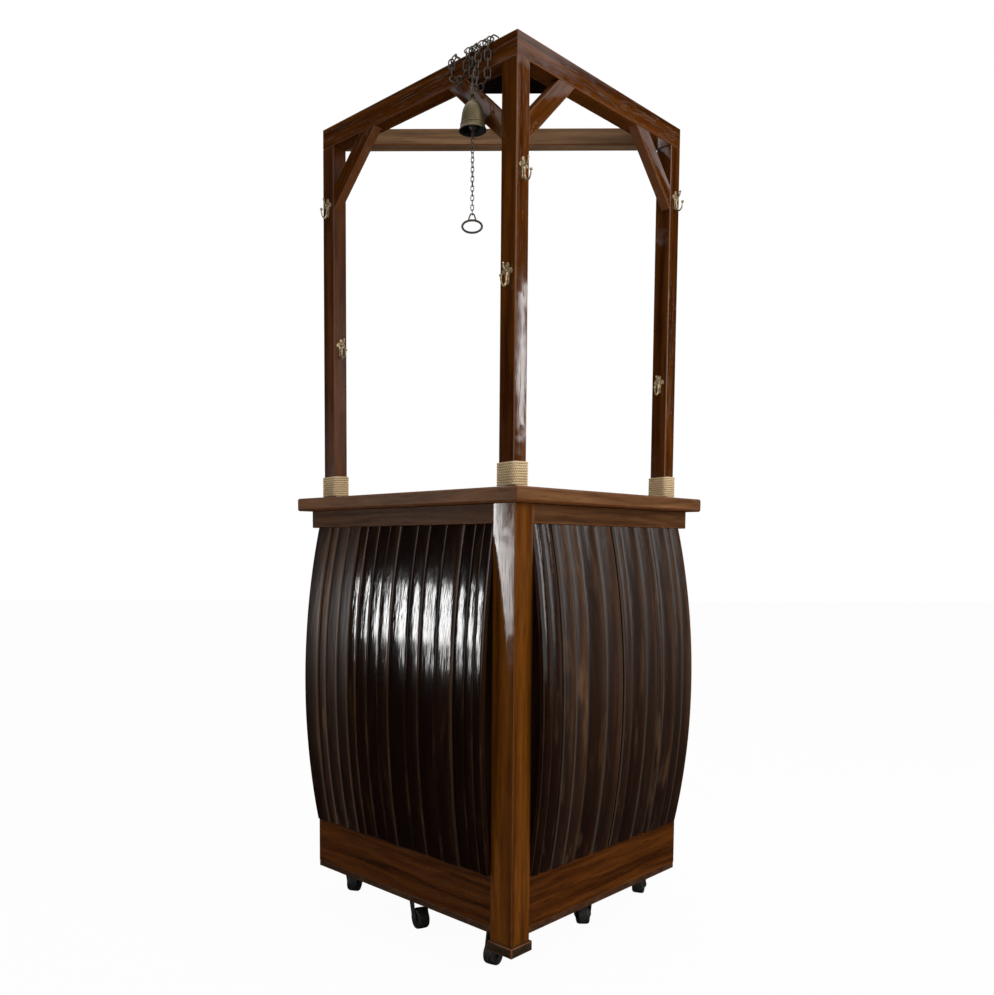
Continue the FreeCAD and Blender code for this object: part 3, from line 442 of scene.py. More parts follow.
@kept
def cast_metal(name):
    """Metal with a dull cover in patches."""
    bright, dull, rough, cover, bare = METALS[name]
    finish = Finish(name)
    patches = finish.even(140, 4.0, 0.65)
    grains = finish.even(620, 3.0, 0.6)
    share = (patches * 0.75 + grains * 0.35 - 0.05).step(0.62 - cover, 0.98 - cover)
    base = finish.blend(share, finish.colour(bright), finish.colour(dull))
    return finish.closed(0.5, base, rough + share * 0.28 + grains * 0.08,
                         finish.relief(grains * 0.6 + patches, 0.0005), bare - share * (bare * 0.75))


@kept
def hard_tyre():
    """Scuffed hard wheel."""
    finish = Finish("caster_wheel")
    dust = finish.even(130, 4.0, 0.65).step(0.45, 0.85) * 0.5
    fine = finish.even(900, 2.0, 0.6)
    base = finish.blend(dust, finish.colour("tyre"), finish.colour("caster_iron"))
    return finish.closed(0.35, base, 0.5 + fine * 0.25, finish.relief(fine, 0.0003))


# Meshes: points closer than a seam are one, and points within the slack are on one level, in metres.
# Faces within the flat angle are one, and an edge past one of the other angles is sharp, in degrees
SEAM = 1e-6
LEVEL_SLACK = 1e-4
FLAT_ANGLE = 0.5
CREASE_ANGLE = 40
ARRIS_ANGLE = 38
ROUND_ANGLE = 50


def linked(name, data):
    """A new object in the scene's own collection."""
    thing = bpy.data.objects.new(name, data)
    bpy.context.scene.collection.objects.link(thing)
    return thing


def piece(node, mesh, body):
    """A finished piece riding on a body in place of a frame node."""
    thing = linked(node + "_finished", mesh)
    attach(thing, body)
    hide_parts(node)
    return thing


def middle_of(node):
    low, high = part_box(node)
    return (low + high) / 2


def merged(node):
    """A frame node's mesh as an edit mesh with its seams closed."""
    shape = bmesh.new()
    shape.from_mesh(frame["nodes"][node].data)
    bmesh.ops.remove_doubles(shape, verts=shape.verts, dist=SEAM)
    return shape


def islands(node):
    """Corner points of each separate solid of a frame node."""
    shape = merged(node)
    left = set(shape.verts)
    found = []
    while left:
        group, edge = [], [left.pop()]
        while edge:
            corner = edge.pop()
            group.append(tuple(corner.co))
            near = {line.other_vert(corner) for line in corner.link_edges} & left
            left -= near
            edge.extend(near)
        found.append(np.array(sorted(group)))
    shape.free()
    return sorted(found, key=lambda points: tuple(points.mean(0)))


def plain_mesh(name, shape):
    """An edit mesh as a plain one."""
    mesh = bpy.data.meshes.new(name)
    shape.to_mesh(mesh)
    shape.free()
    return mesh


def evaluated(carrier):
    """What an object's modifiers or curve make, as a plain mesh; the object goes."""
    sight = bpy.context.evaluated_depsgraph_get()
    mesh = bpy.data.meshes.new_from_object(carrier.evaluated_get(sight), preserve_all_data_layers=True,
                                           depsgraph=sight)
    bpy.data.objects.remove(carrier)
    return mesh


def smooth(mesh, angle):
    mesh.polygons.foreach_set("use_smooth", [True] * len(mesh.polygons))
    mesh.set_sharp_from_angle(angle=math.radians(angle))
    mesh.update()


def mark(mesh, name, values, kind="FLOAT"):
    layer = mesh.attributes.new(name, kind, "POINT")
    field = "vector" if kind == "FLOAT_VECTOR" else "value"
    layer.data.foreach_set(field, np.asarray(values, float).ravel())


# Chamfers of a board: faces that are square to neither the room nor the counter, and no larger than this
CHAMFER_SQUARENESS = 0.97
CHAMFER_AREA = 0.006


def chamfered(face):
    turned = Matrix.Rotation(EIGHTH, 3, "Z") @ face.normal
    squareness = max(abs(part) for normal in (turned, face.normal) for part in normal)
    return squareness < CHAMFER_SQUARENESS and face.area < CHAMFER_AREA


def dressed(node, body, finish, arris, worn=None, seed=0.0):
    """A node's own form with softened edges; worn edges take their own finish."""
    shape = merged(node)
    flat = math.radians(FLAT_ANGLE)
    bmesh.ops.dissolve_limit(shape, angle_limit=flat, verts=shape.verts, edges=shape.edges)
    mesh = plain_mesh(node + "_finished", shape)
    smooth(mesh, CREASE_ANGLE)
    mark(mesh, "grain_seed", [seed] * len(mesh.vertices))
    mesh.materials.append(finish)
    edge = piece(node, mesh, body).modifiers.new("arris", "BEVEL")
    edge.width = arris
    edge.segments = 2
    edge.limit_method = "ANGLE"
    edge.angle_limit = math.radians(ARRIS_ANGLE)
    edge.harden_normals = True
    edge.miter_outer = "MITER_ARC"
    if worn:
        mesh.materials.append(worn)
        edge.material = 1
        for face in filter(chamfered, mesh.polygons):
            face.material_index = 1


def outer_boards(slot, *rows):
    """Boards with worn edges: node, finish and seed of the grain of each."""
    for node, finish, seed in rows:
        dressed(node, COUNTER, finish, bpy.context.scene.bar_sizes.arris, worn_wood(), seed)


class Growth(Graph):
    """A geometry node tree under way, with named inputs."""

    def __init__(self, name, inputs):
        tree = bpy.data.node_groups.new(name, "GeometryNodeTree")
        super().__init__(tree)
        tree.interface.new_socket("Geometry", in_out="INPUT", socket_type="NodeSocketGeometry")
        for label in inputs:
            tree.interface.new_socket(label, in_out="INPUT", socket_type="NodeSocketFloat")
        tree.interface.new_socket("Geometry", in_out="OUTPUT", socket_type="NodeSocketGeometry")
        self.inputs = inputs
        self.sources = []

    def given(self, name):
        return self.node("NodeGroupInput", output=name)

    def own(self, name, kind="FLOAT"):
        settings = {"data_type": kind}
        return self.node("GeometryNodeInputNamedAttribute", settings, {"Name": name}, "Attribute")

    def form(self, mesh):
        """A mesh as a form to set on points; it goes when the tree is baked."""
        self.sources.append(bpy.data.objects.new(mesh.name, mesh))
        return self.node("GeometryNodeObjectInfo", None, {"Object": self.sources[-1]}, "Geometry")

    def on_points(self, form, scale=(1.0, 1.0, 1.0)):
        """A form set on every point of the input, turned by the point's own angles."""
        sockets = {"Points": self.given("Geometry"), "Instance": form, "Scale": scale,
                   "Rotation": self.own("turn", "FLOAT_VECTOR")}
        return self.node("GeometryNodeInstanceOnPoints", None, sockets)

    def realized(self, shape):
        return self.node("GeometryNodeRealizeInstances", None, {"Geometry": shape})

    def round_outline(self, count, radius):
        return self.node("GeometryNodeCurvePrimitiveCircle", {"mode": "RADIUS"},
                         {"Resolution": count, "Radius": radius})

    def swept(self, curve, outline, capped):
        sockets = {"Curve": curve, "Profile Curve": outline, "Fill Caps": capped}
        bar = self.node("GeometryNodeCurveToMesh", None, sockets)
        return self.node("GeometryNodeSetShadeSmooth", None, {"Geometry": bar})

    def baked(self, mesh, shape, finish):
        """Ends the tree in a shape with a finish, and gives what it makes of a mesh."""
        sockets = {"Geometry": self.realized(shape), "Material": finish}
        self.node("NodeGroupOutput", None, {0: self.node("GeometryNodeSetMaterial", None, sockets)})
        carrier = linked("carrier", mesh)
        modifier = carrier.modifiers.new("nodes", "NODES")
        modifier.node_group = self.tree
        for item in self.tree.interface.items_tree:
            if item.in_out == "INPUT" and item.name in self.inputs:
                modifier[item.identifier] = self.inputs[item.name]
        result = evaluated(carrier)
        for spent in [mesh] + [source.data for source in self.sources]:
            bpy.data.meshes.remove(spent)
        bpy.data.node_groups.remove(self.tree)
        if not result.polygons:
            raise RuntimeError("the node tree made no faces")
        return result


def points_mesh(points, **layers):
    mesh = bpy.data.meshes.new("points")
    mesh.from_pydata([tuple(point) for point in points], [], [])
    for label, values in layers.items():
        mark(mesh, label, values, "FLOAT_VECTOR" if np.ndim(values) == 2 else "FLOAT")
    return mesh


def curve_mesh(name, lines, **settings):
    """Mesh of a curve; a line is its points, one radius for each, and whether it closes."""
    curve = bpy.data.curves.new(name, "CURVE")
    for label, value in settings.items():
        setattr(curve, label, value)
    for points, radii, closed in lines:
        spline = curve.splines.new("POLY")
        spline.points.add(len(points) - 1)
        spline.use_cyclic_u = closed
        for knot, point, radius in zip(spline.points, points, radii):
            knot.co = (*point, 1.0)
            knot.radius = radius
    mesh = evaluated(linked(name, curve))
    bpy.data.curves.remove(curve)
    return mesh


def bars(name, lines):
    """Round bars along lines."""
    return curve_mesh(name, lines, dimensions="3D", bevel_depth=1.0, bevel_resolution=4, use_fill_caps=True)


def bar(points, radius, closed=False):
    return points, [radius] * len(points), closed


def eased(points, steps):
    """A smooth line through points."""
    knots = [Vector(point) for point in points]
    line = []
    for index in range(len(knots) - 1):
        before = knots[max(index - 1, 0)]
        start, end = knots[index], knots[index + 1]
        after = knots[min(index + 2, len(knots) - 1)]
        for step in range(steps):
            t = step / steps
            straight = 2 * start + (end - before) * t
            bend = (2 * before - 5 * start + 4 * end - after) * t * t
            twist = (3 * start - before - 3 * end + after) * t ** 3
            line.append(0.5 * (straight + bend + twist))
    return line + [knots[-1]]


def full_turn(count):
    return [2 * math.pi * step / count for step in range(count)]


def ring(centre, first, second, count=24):
    return [Vector(centre) + first * math.cos(turn) + second * math.sin(turn) for turn in full_turn(count)]


def lofted(name, rows, looped=False, capped=False):
    """Skin over rows of points; a row of one point closes an end, looped joins the last to the first."""
    shape = bmesh.new()
    count = max(len(row) for row in rows)
    rings = [[shape.verts.new(point) for point in row] * (count // len(row)) for row in rows]
    for low, high in zip(rings, rings[1:] + (rings[:1] if looped else [])):
        for step in range(count):
            after = (step + 1) % count
            corners = list(dict.fromkeys((low[step], low[after], high[after], high[step])))
            if len(corners) > 2:
                shape.faces.new(corners)
    if capped:
        shape.faces.new(rings[0][::-1])
        shape.faces.new(rings[-1])
    bmesh.ops.recalc_face_normals(shape, faces=shape.faces)
    return plain_mesh(name, shape)


def lathe(profile, count, looped=False):
    """Turned form about z from (radius, height) pairs; a radius of 0 closes an end."""
    rows = []
    for radius, height in profile:
        turns = full_turn(count) if radius > 0.0 else [0.0]
        rows.append([(radius * math.cos(turn), radius * math.sin(turn), height) for turn in turns])
    return lofted("turned", rows, looped)


def ball_profile(radius, steps, height=0.0):
    """Half outline of a ball whose middle is at a height, from its lower to its upper pole."""
    turns = [math.pi * step / steps for step in range(1, steps)]
    round_part = [(radius * math.sin(turn), height - radius * math.cos(turn)) for turn in turns]
    return [(0.0, height - radius)] + round_part + [(0.0, height + radius)]


def joined(name, parts, finish, angle):
    """Meshes, each with its own placing, as one mesh."""
    shape = bmesh.new()
    for mesh, place in parts:
        mesh.transform(place)
        shape.from_mesh(mesh)
        bpy.data.meshes.remove(mesh)
    whole = plain_mesh(name, shape)
    smooth(whole, angle)
    whole.materials.append(finish)
    return whole


# Staves: places across the face, closest at the edges, the strips there that take rubbed wear and a painted
# highlight, and the form of the face
STAVE_FACE = (-0.5, -0.49, -0.47, -0.43, -0.36, -0.24, -0.1, 0.05, 0.2, 0.33, 0.42, 0.465, 0.487, 0.5)
STAVE_STRIPS = ((-0.495, -0.46), (0.40, 0.495))
STAVE_THICK = 0.0135
STAVE_LEVELS = 49
EDGE_SHARPNESS = 14
CROWN_LEVEL = 0.6

# The share of brown past which a stave is dry, and the seeds of the grain, which go up from left to right
DRY_TONE = 0.25
SEED_STEP = 0.37
RIGHT_SEED = 3.0


def stave_rows(node, side):
    """Foot, width and turn of each stave, and the bow they share: height, depth at belly and at head."""
    turn = EIGHTH * side
    across = Vector((math.cos(turn), math.sin(turn), 0))
    inward = Vector((-math.sin(turn), math.cos(turn), 0))
    rows, bow = [], None
    for points in islands(node):
        low, high = points[:, 2].min(), points[:, 2].max()
        ends = []
        for level in (low, high):
            corners = [Vector(point) for point in points if abs(point[2] - level) < LEVEL_SLACK]
            corners.sort(key=lambda corner: corner.dot(across))
            half = len(corners) // 2
            ends.append([min(group, key=lambda corner: corner.dot(inward))
                         for group in (corners[:half], corners[half:])])
        (first, last), (head_first, head_last) = ends
        run = last - first
        foot = (first + last) / 2
        heading = math.atan2(run.y, run.x)
        facing = Vector((-math.sin(heading), math.cos(heading), 0))
        head = (head_first + head_last) / 2
        belly = min(Vector(point).dot(facing) for point in points) - foot.dot(facing)
        rows.append((foot, run.length, heading))
        bow = (high - low, belly, (head - foot).dot(facing))
    rows.sort(key=lambda row: row[0].dot(across))
    return rows, bow


def bow_line(bow):
    """Height and depth of the stave's face at even heights: the arc through foot, belly and head."""
    tall, belly, head = bow
    matrix = np.array([[0.0, 0.0, 1.0], [belly, tall / 2, 1.0], [head, tall, 1.0]])
    squares = np.array([0.0, -(belly ** 2 + tall ** 2 / 4), -(head ** 2 + tall ** 2)])
    d, e, f = np.linalg.solve(matrix, squares)
    heights = np.linspace(0.0, tall, STAVE_LEVELS)
    reach = np.sqrt(np.maximum((d / 2) ** 2 + (e / 2) ** 2 - f - (heights + e / 2) ** 2, 0.0))
    return list(zip(heights, -d / 2 - reach))


def plain_stave(bow, crown, edge):
    """A stave of unit width: crowned face with worn edges, flat back."""
    outline = []
    for u in STAVE_FACE:
        rise = crown * (CROWN_LEVEL - (2 * u) ** 2)
        outline.append((u, edge * abs(2 * u) ** EDGE_SHARPNESS - rise))
    outline += [(0.5, STAVE_THICK), (-0.5, STAVE_THICK)]
    rows = [[(u, depth + inset, height) for u, inset in outline] for height, depth in bow_line(bow)]
    mesh = lofted("plain_stave", rows, capped=True)
    across = [vertex.co.x for vertex in mesh.vertices]
    mark(mesh, "stave_edge", [any(low < u < high for low, high in STAVE_STRIPS) for u in across])
    mark(mesh, "stave_across", [u + 0.5 for u in across])
    return mesh


def stave_mesh(node, side, tones, crown, finishes):
    """The staves of one face; the darker ones are glossy, the browner ones dry."""
    sizes = bpy.context.scene.bar_sizes
    rows, bow = stave_rows(node, side)
    if len(rows) != len(tones):
        raise RuntimeError("%s has %d staves, not %d" % (node, len(rows), len(tones)))
    first_seed = RIGHT_SEED if side > 0 else 0.0
    points = points_mesh([foot for foot, width, heading in rows],
                         width=[width for foot, width, heading in rows],
                         turn=np.array([(0.0, 0.0, heading) for foot, width, heading in rows]),
                         stave_tone=tones,
                         grain_seed=[SEED_STEP * index + first_seed for index in range(len(rows))])
    post_way = Vector((-side * math.cos(EIGHTH), -math.sin(EIGHTH), 0))
    outer = min(row[0].dot(post_way) for row in rows)
    growth = Growth("staves", {"Wave": sizes.stave_wave, "Spread": sizes.stave_spread})
    form = growth.form(plain_stave(bow, crown, sizes.stave_edge))
    whole = growth.realized(growth.on_points(form, growth.join(growth.own("width"), 1.0, 1.0)))
    spot = growth.node("GeometryNodeInputPosition")
    seed = growth.own("grain_seed")
    apart = growth.vector("ADD", spot, growth.join(seed * 2.3, seed * 1.1, seed * 5.7))
    swell = growth.noise(apart, (21, 21, 3.4), 2.0, 0.5) - 0.5
    wave = growth.scaled(growth.node("GeometryNodeInputNormal"), swell * growth.given("Wave"))
    bulge = ((growth.part(spot, "Z") - rows[0][0].z) * (math.pi / bow[0])).math("SINE")
    far = growth.dot(spot, tuple(post_way)) - outer
    spread = growth.scaled(tuple(post_way), bulge * far * growth.given("Spread"))
    moved = {"Geometry": whole, "Offset": growth.vector("ADD", wave, spread)}
    mesh = growth.baked(points, growth.node("GeometryNodeSetPosition", None, moved), finishes[0])
    mesh.materials.clear()
    for finish in finishes:
        mesh.materials.append(finish)
    tone = mesh.attributes["stave_tone"].data
    for face in mesh.polygons:
        face.material_index = int(tone[face.vertices[0]].value > DRY_TONE)
    smooth(mesh, ROUND_ANGLE)
    return mesh


def chain_links(node):
    """Middle and turn of each link (x across, y along, z out of its flat), and their usual length."""
    places, turns, spans = [], [], []
    for points in islands(node):
        middle = points.mean(0)
        axes = np.linalg.eigh(np.cov((points - middle).T))[1]
        along, across = axes[:, 2], axes[:, 1]
        matrix = Matrix((across, along, np.cross(across, along))).transposed()
        places.append(middle)
        turns.append(tuple(matrix.to_euler()))
        spans.append(np.ptp(points @ along))
    return places, np.array(turns), float(np.median(spans))


def chain_mesh(node, wire, width):
    """Round-ended wire links in the places of the frame's links."""
    places, turns, long = chain_links(node)
    growth = Growth("links", {"Wire": wire, "Width": width, "Long": long})
    thin = growth.given("Wire")
    wide = growth.given("Width") - thin
    line = growth.node("GeometryNodeCurvePrimitiveQuadrilateral", {"mode": "RECTANGLE"},
                       {"Width": wide, "Height": growth.given("Long") - thin})
    line = growth.node("GeometryNodeFilletCurve", {"mode": "POLY"},
                       {"Curve": line, "Count": 7, "Radius": wide * 0.498, "Limit Radius": True})
    link = growth.swept(line, growth.round_outline(10, thin * 0.5), False)
    return growth.baked(points_mesh(places, turn=turns), growth.on_points(link), cast_metal("rusty_iron"))


# Rope: turns of a lashing, the points of its line, and the inner radius of its bend at a post's corner
LASHING_TURNS = 9.5
LASHING_STEPS = 700
LASHING_BEND = 0.004
STRANDS = 3
STRAND_DEPTH = 0.20


def lashing(post, half, rope, low, high):
    """Line of the rope round a post: square turns with rounded corners, climbing evenly."""
    reach = half + rope / 2
    corner = rope / 2 + LASHING_BEND
    flat = reach - corner
    side = 2 * flat
    bend = corner * QUARTER
    around = 4 * (side + bend)
    line = []
    for index in range(LASHING_STEPS + 1):
        share = index / LASHING_STEPS
        quarter, rest = divmod((LASHING_TURNS * around * share) % around, side + bend)
        if rest < side:
            spot = Vector((-flat + rest, -reach))
        else:
            angle = (rest - side) / corner
            spot = Vector((flat + corner * math.sin(angle), -flat - corner * math.cos(angle)))
        spot.rotate(Matrix.Rotation(EIGHTH + quarter * QUARTER, 2))
        line.append(Vector((post.x + spot.x, post.y + spot.y, low + (high - low) * share)))
    return line


def rope_mesh(lines, rope, lay):
    """Twisted strands along every line."""
    mesh = bpy.data.meshes.new("rope_lines")
    corners, edges = [], []
    for line in lines:
        first = len(corners)
        corners += [tuple(point) for point in line]
        edges += [(first + step, first + step + 1) for step in range(len(line) - 1)]
    mesh.from_pydata(corners, edges, [])
    growth = Growth("rope", {"Rope": rope, "Lay": lay})
    curve = growth.node("GeometryNodeMeshToCurve", None, {"Mesh": growth.given("Geometry")})
    curve = growth.node("GeometryNodeResampleCurve", {"mode": "LENGTH"},
                        {"Curve": curve, "Length": growth.given("Rope") * 0.2})
    along = growth.node("GeometryNodeSplineParameter", output="Length")
    turned = along.math("DIVIDE", growth.given("Lay")) * (2 * math.pi)
    curve = growth.node("GeometryNodeSetCurveTilt", None, {"Curve": curve, "Tilt": turned})
    outline = growth.round_outline(18, growth.given("Rope") * 0.5)
    around = growth.node("GeometryNodeSplineParameter", output="Factor")
    lobe = (around * (STRANDS * 2 * math.pi)).math("COSINE")
    spot = growth.scaled(growth.node("GeometryNodeInputPosition"), 1.0 - STRAND_DEPTH + lobe * STRAND_DEPTH)
    outline = growth.node("GeometryNodeSetPosition", None, {"Geometry": outline, "Position": spot})
    outline = growth.node("GeometryNodeStoreNamedAttribute", {"data_type": "FLOAT", "domain": "POINT"},
                          {"Geometry": outline, "Name": "strand_crown", "Value": lobe * 0.5 + 0.5})
    return growth.baked(mesh, growth.swept(curve, outline, True), rope_fibre())


# Hooks, about their fixing point: x across, y into the post, z up
HOOK_COUNT = 6
HOOK_BELOW = 0.0267
HOOK_LEAF = ((0.0, 0.0250), (0.0026, 0.0236), (0.0044, 0.0208), (0.0040, 0.0176), (0.0030, 0.0152),
             (0.0042, 0.0138), (0.0066, 0.0136), (0.0102, 0.0126), (0.0128, 0.0094), (0.0130, 0.0062),
             (0.0110, 0.0034), (0.0086, 0.0036), (0.0076, 0.0050), (0.0060, 0.0036), (0.0056, 0.0002),
             (0.0050, -0.0050), (0.0040, -0.0095), (0.0044, -0.0130), (0.0044, -0.0165), (0.0026, -0.0190),
             (0.0, -0.0198))
HOOK_LEAF_HALF = 0.00065
HOOK_LEAF_ROUND = 0.0006
HOOK_ARM = ((0, -0.0020, 0.0045), (0, -0.0046, -0.0080), (0, -0.0066, -0.0185), (0, -0.0120, -0.0244),
            (0, -0.0182, -0.0212), (0, -0.0212, -0.0128), (0, -0.0216, -0.0062))
HOOK_HORN = ((0, -0.0020, 0.0060), (0, -0.0066, 0.0082), (0, -0.0116, 0.0112), (0, -0.0143, 0.0170),
             (0, -0.0146, 0.0205))
ARM_RADIUS, ARM_TAPER = 0.0025, 0.0009
HORN_RADIUS, HORN_TAPER = 0.0023, 0.0008
ARM_BALL, ARM_TIP = 0.0035, (0, -0.0217, -0.0050)
HORN_BALL, HORN_TIP = 0.72 * ARM_BALL, (0, -0.0146, 0.0213)
SCREW_HEAD = ((0.0, 0.0012), (0.0010, 0.0011), (0.0019, 0.0006), (0.0022, 0.0), (0.0, 0.0))
SCREW_PLACES = ((0, -0.0024, 0.0172), (0, -0.0024, -0.0150))


def hook_form():
    """Cast hook: a lobed leaf with an arm, a horn, a ball on the end of each, and two screws."""
    half = [point.xy for point in eased([(x, z, 0) for x, z in HOOK_LEAF], 4)]
    whole = [(x, z, 0.0) for x, z in half] + [(-x, z, 0.0) for x, z in half[-2:0:-1]]
    leaf = curve_mesh("leaf", [bar(whole, 1.0, True)], dimensions="2D", fill_mode="BOTH",
                      extrude=HOOK_LEAF_HALF, bevel_depth=HOOK_LEAF_ROUND, bevel_resolution=2)
    face_out = Matrix.Rotation(QUARTER, 4, "X")
    arm, horn = eased(HOOK_ARM, 6), eased(HOOK_HORN, 6)
    arm_shares, horn_shares = (np.linspace(0, 1, len(line)) for line in (arm, horn))
    arm_radii = [ARM_RADIUS - ARM_TAPER * math.sin(QUARTER * share) for share in arm_shares]
    horn_radii = [HORN_RADIUS - HORN_TAPER * share for share in horn_shares]
    lines = [(arm, arm_radii, False), (horn, horn_radii, False)]
    parts = [(leaf, Matrix.Translation((0, -HOOK_LEAF_HALF - HOOK_LEAF_ROUND, 0)) @ face_out),
             (bars("hook_bars", lines), STILL),
             (lathe(ball_profile(ARM_BALL, 10), 16), Matrix.Translation(ARM_TIP)),
             (lathe(ball_profile(HORN_BALL, 10), 14), Matrix.Translation(HORN_TIP))]
    parts += [(lathe(SCREW_HEAD, 14), Matrix.Translation(place) @ face_out) for place in SCREW_PLACES]
    return joined("hook_form", parts, cast_metal("hook_brass"), CREASE_ANGLE)


def hook_places(half):
    """Fixing point and turn of every hook, from the solids of the frame and the posts they sit on."""
    posts = [middle_of("canopy_post_" + name) for name in POSTS]
    places, turns = [], []
    for points in islands("post_hooks"):
        middle = Vector((points.min(0) + points.max(0)) / 2)
        post = min(posts, key=lambda spot: (spot.xy - middle.xy).length)
        out = (middle - post).xy
        angle = round((math.atan2(out.y, out.x) - EIGHTH) / QUARTER) * QUARTER + EIGHTH
        height = float(points[:, 2].min()) + HOOK_BELOW
        places.append((post.x + half * math.cos(angle), post.y + half * math.sin(angle), height))
        turns.append((0.0, 0.0, angle + QUARTER))
    return places, np.array(turns)


# Stage: dark walls that only mirrors see stand round the counter, and the right one glows at its far end
LEFT_WALL, RIGHT_WALL, BACK_WALL = -2.6, 3.4, 4.0
LEFT_FRONT, RIGHT_FRONT = -3.2, -4.0
WALL_TALL = 3.6
DIM_FROM, DIM_TALL = 0.4, 1.35
DIM_COLOUR = (1.0, 0.90, 0.80)
GROUND_HALF, GROUND_LEVEL = 9.0, 0.002
FLOOR_HALF = 14.0
FLOOR_GREY = (0.86, 0.86, 0.86)
WHITE = (1.0, 1.0, 1.0)


def level_sheet(half, height):
    return [(-half, -half, height), (half, -half, height), (half, half, height), (-half, half, height)]


def upright_sheet(start, end, low, high):
    return [(*start, low), (*end, low), (*end, high), (*start, high)]


def shaded(name):
    """A new material and its empty node tree."""
    material = bpy.data.materials.new(name)
    material.use_nodes = True
    return material, Graph(material.node_tree)


class BAR_OT_stage(bpy.types.Operator):
    """Floor, soft studio light and the camera of the photograph"""

    bl_idname = "bar.stage"
    bl_label = "Stage"
    bl_options = {"REGISTER", "UNDO"}

    def lamp(self, name, place, aim, wide, tall, power, mirrored):
        light = bpy.data.lights.new(name, "AREA")
        light.shape = "RECTANGLE"
        light.size, light.size_y = wide, tall
        light.energy = power
        thing = linked(name, light)
        thing.location = place
        thing.rotation_euler = (Vector(aim) - Vector(place)).to_track_quat("-Z", "Y").to_euler()
        thing.visible_camera = False
        thing.visible_diffuse = not mirrored

    def lamps(self, light):
        self.lamp("key", (2.9, -2.3, 2.3), (0, 0, 1.0), 2.6, 2.6, light.key, False)
        self.lamp("overhead", (0.2, -0.3, 4.2), (0, 0, 0.8), 3.0, 3.0, light.overhead, False)
        for name, place, wide, tall in (("window_left", (-2.15, -0.135, 0.97), 0.31, 0.46),
                                        ("window_post", (-2.15, -0.455, 0.77), 0.25, 0.42),
                                        ("window_right", (2.3, 0.03, 1.78), 0.18, 0.66)):
            self.lamp(name, place, (0, *place[1:]), wide, tall, getattr(light, name), True)

    def sheet(self, name, corners, material):
        mesh = bpy.data.meshes.new(name)
        mesh.from_pydata(corners, [], [(0, 1, 2, 3)])
        mesh.materials.append(material)
        thing = linked(name, mesh)
        return thing

    def floor(self, white):
        material, graph = shaded("floor")
        matte = graph.node("ShaderNodeBsdfDiffuse", None, {"Color": FLOOR_GREY})
        plain = graph.node("ShaderNodeEmission", None, {"Color": WHITE, "Strength": 1.0})
        seen = graph.node("ShaderNodeLightPath", output="Is Camera Ray")
        mixed = graph.node("ShaderNodeMixShader", None, {0: seen * white, 1: matte, 2: plain})
        graph.node("ShaderNodeOutputMaterial", None, {"Surface": mixed})
        self.sheet("floor", level_sheet(FLOOR_HALF, 0), material)

    def glow(self, name, level):
        material, graph = shaded(name)
        light = graph.node("ShaderNodeEmission", None, {"Color": DIM_COLOUR, "Strength": level})
        graph.node("ShaderNodeOutputMaterial", None, {"Surface": light})
        return material

    def walls(self, light):
        black, dim = self.glow("flag", light.flag), self.glow("far_wall", light.far_wall)
        corner, far = (RIGHT_WALL, DIM_FROM), (RIGHT_WALL, BACK_WALL)
        left = upright_sheet((LEFT_WALL, LEFT_FRONT), (LEFT_WALL, BACK_WALL), 0.0, WALL_TALL)
        right = upright_sheet((RIGHT_WALL, RIGHT_FRONT), corner, 0.0, WALL_TALL)
        back = upright_sheet((LEFT_WALL, BACK_WALL), far, 0.0, WALL_TALL)
        far_low = upright_sheet(corner, far, 0.0, DIM_TALL)
        far_high = upright_sheet(corner, far, DIM_TALL, WALL_TALL)
        ground = level_sheet(GROUND_HALF, GROUND_LEVEL)
        for name, corners, material in (("flag_wall", left, black), ("flag_right", right, black),
                                        ("far_wall", far_low, dim), ("flag_top", far_high, black),
                                        ("flag_back", back, black), ("flag_ground", ground, black)):
            wall = self.sheet(name, corners, material)
            wall.visible_camera = False
            wall.visible_diffuse = False
            wall.visible_shadow = False

    def world(self, fill):
        """White to the eye and to mirrors, and a softer fill for the rest."""
        world = bpy.data.worlds.new("studio")
        world.use_nodes = True
        graph = Graph(world.node_tree)
        camera, glossy, through = (graph.node("ShaderNodeLightPath", output="Is %s Ray" % kind)
                                   for kind in ("Camera", "Glossy", "Transmission"))
        whole = (camera + glossy + through).math("MINIMUM", 1.0)
        level = whole * (1.0 - fill) + fill
        sky = graph.node("ShaderNodeBackground", None, {"Color": WHITE, "Strength": level})
        graph.node("ShaderNodeOutputWorld", None, {"Surface": sky})
        return world

    def camera(self):
        lens = bpy.data.cameras.new("camera")
        lens.sensor_fit = "HORIZONTAL"
        lens.sensor_width = SENSOR_WIDTH
        lens.lens = SENSOR_WIDTH * CAMERA_FOCAL / IMAGE_WIDTH
        lens.shift_x = -CAMERA_CENTRE[0] / IMAGE_WIDTH
        lens.shift_y = CAMERA_CENTRE[1] / IMAGE_WIDTH
        camera = linked("camera", lens)
        level = Matrix(((1, 0, 0), (0, 0, -1), (0, 1, 0)))
        view = Euler([math.radians(turn) for turn in CAMERA_TURN], "XYZ").to_matrix() @ level
        turn = view.transposed() @ Matrix.Diagonal((1, -1, -1))
        camera.matrix_world = Matrix.Translation(CAMERA_PLACE) @ turn.to_4x4()
        return camera

    def execute(self, context):
        light = context.scene.bar_light
        self.lamps(light)
        self.floor(light.floor)
        self.walls(light)
        context.scene.world = self.world(light.fill)
        context.scene.camera = self.camera()
        context.scene.view_settings.view_transform = "Standard"
        return {"FINISHED"}


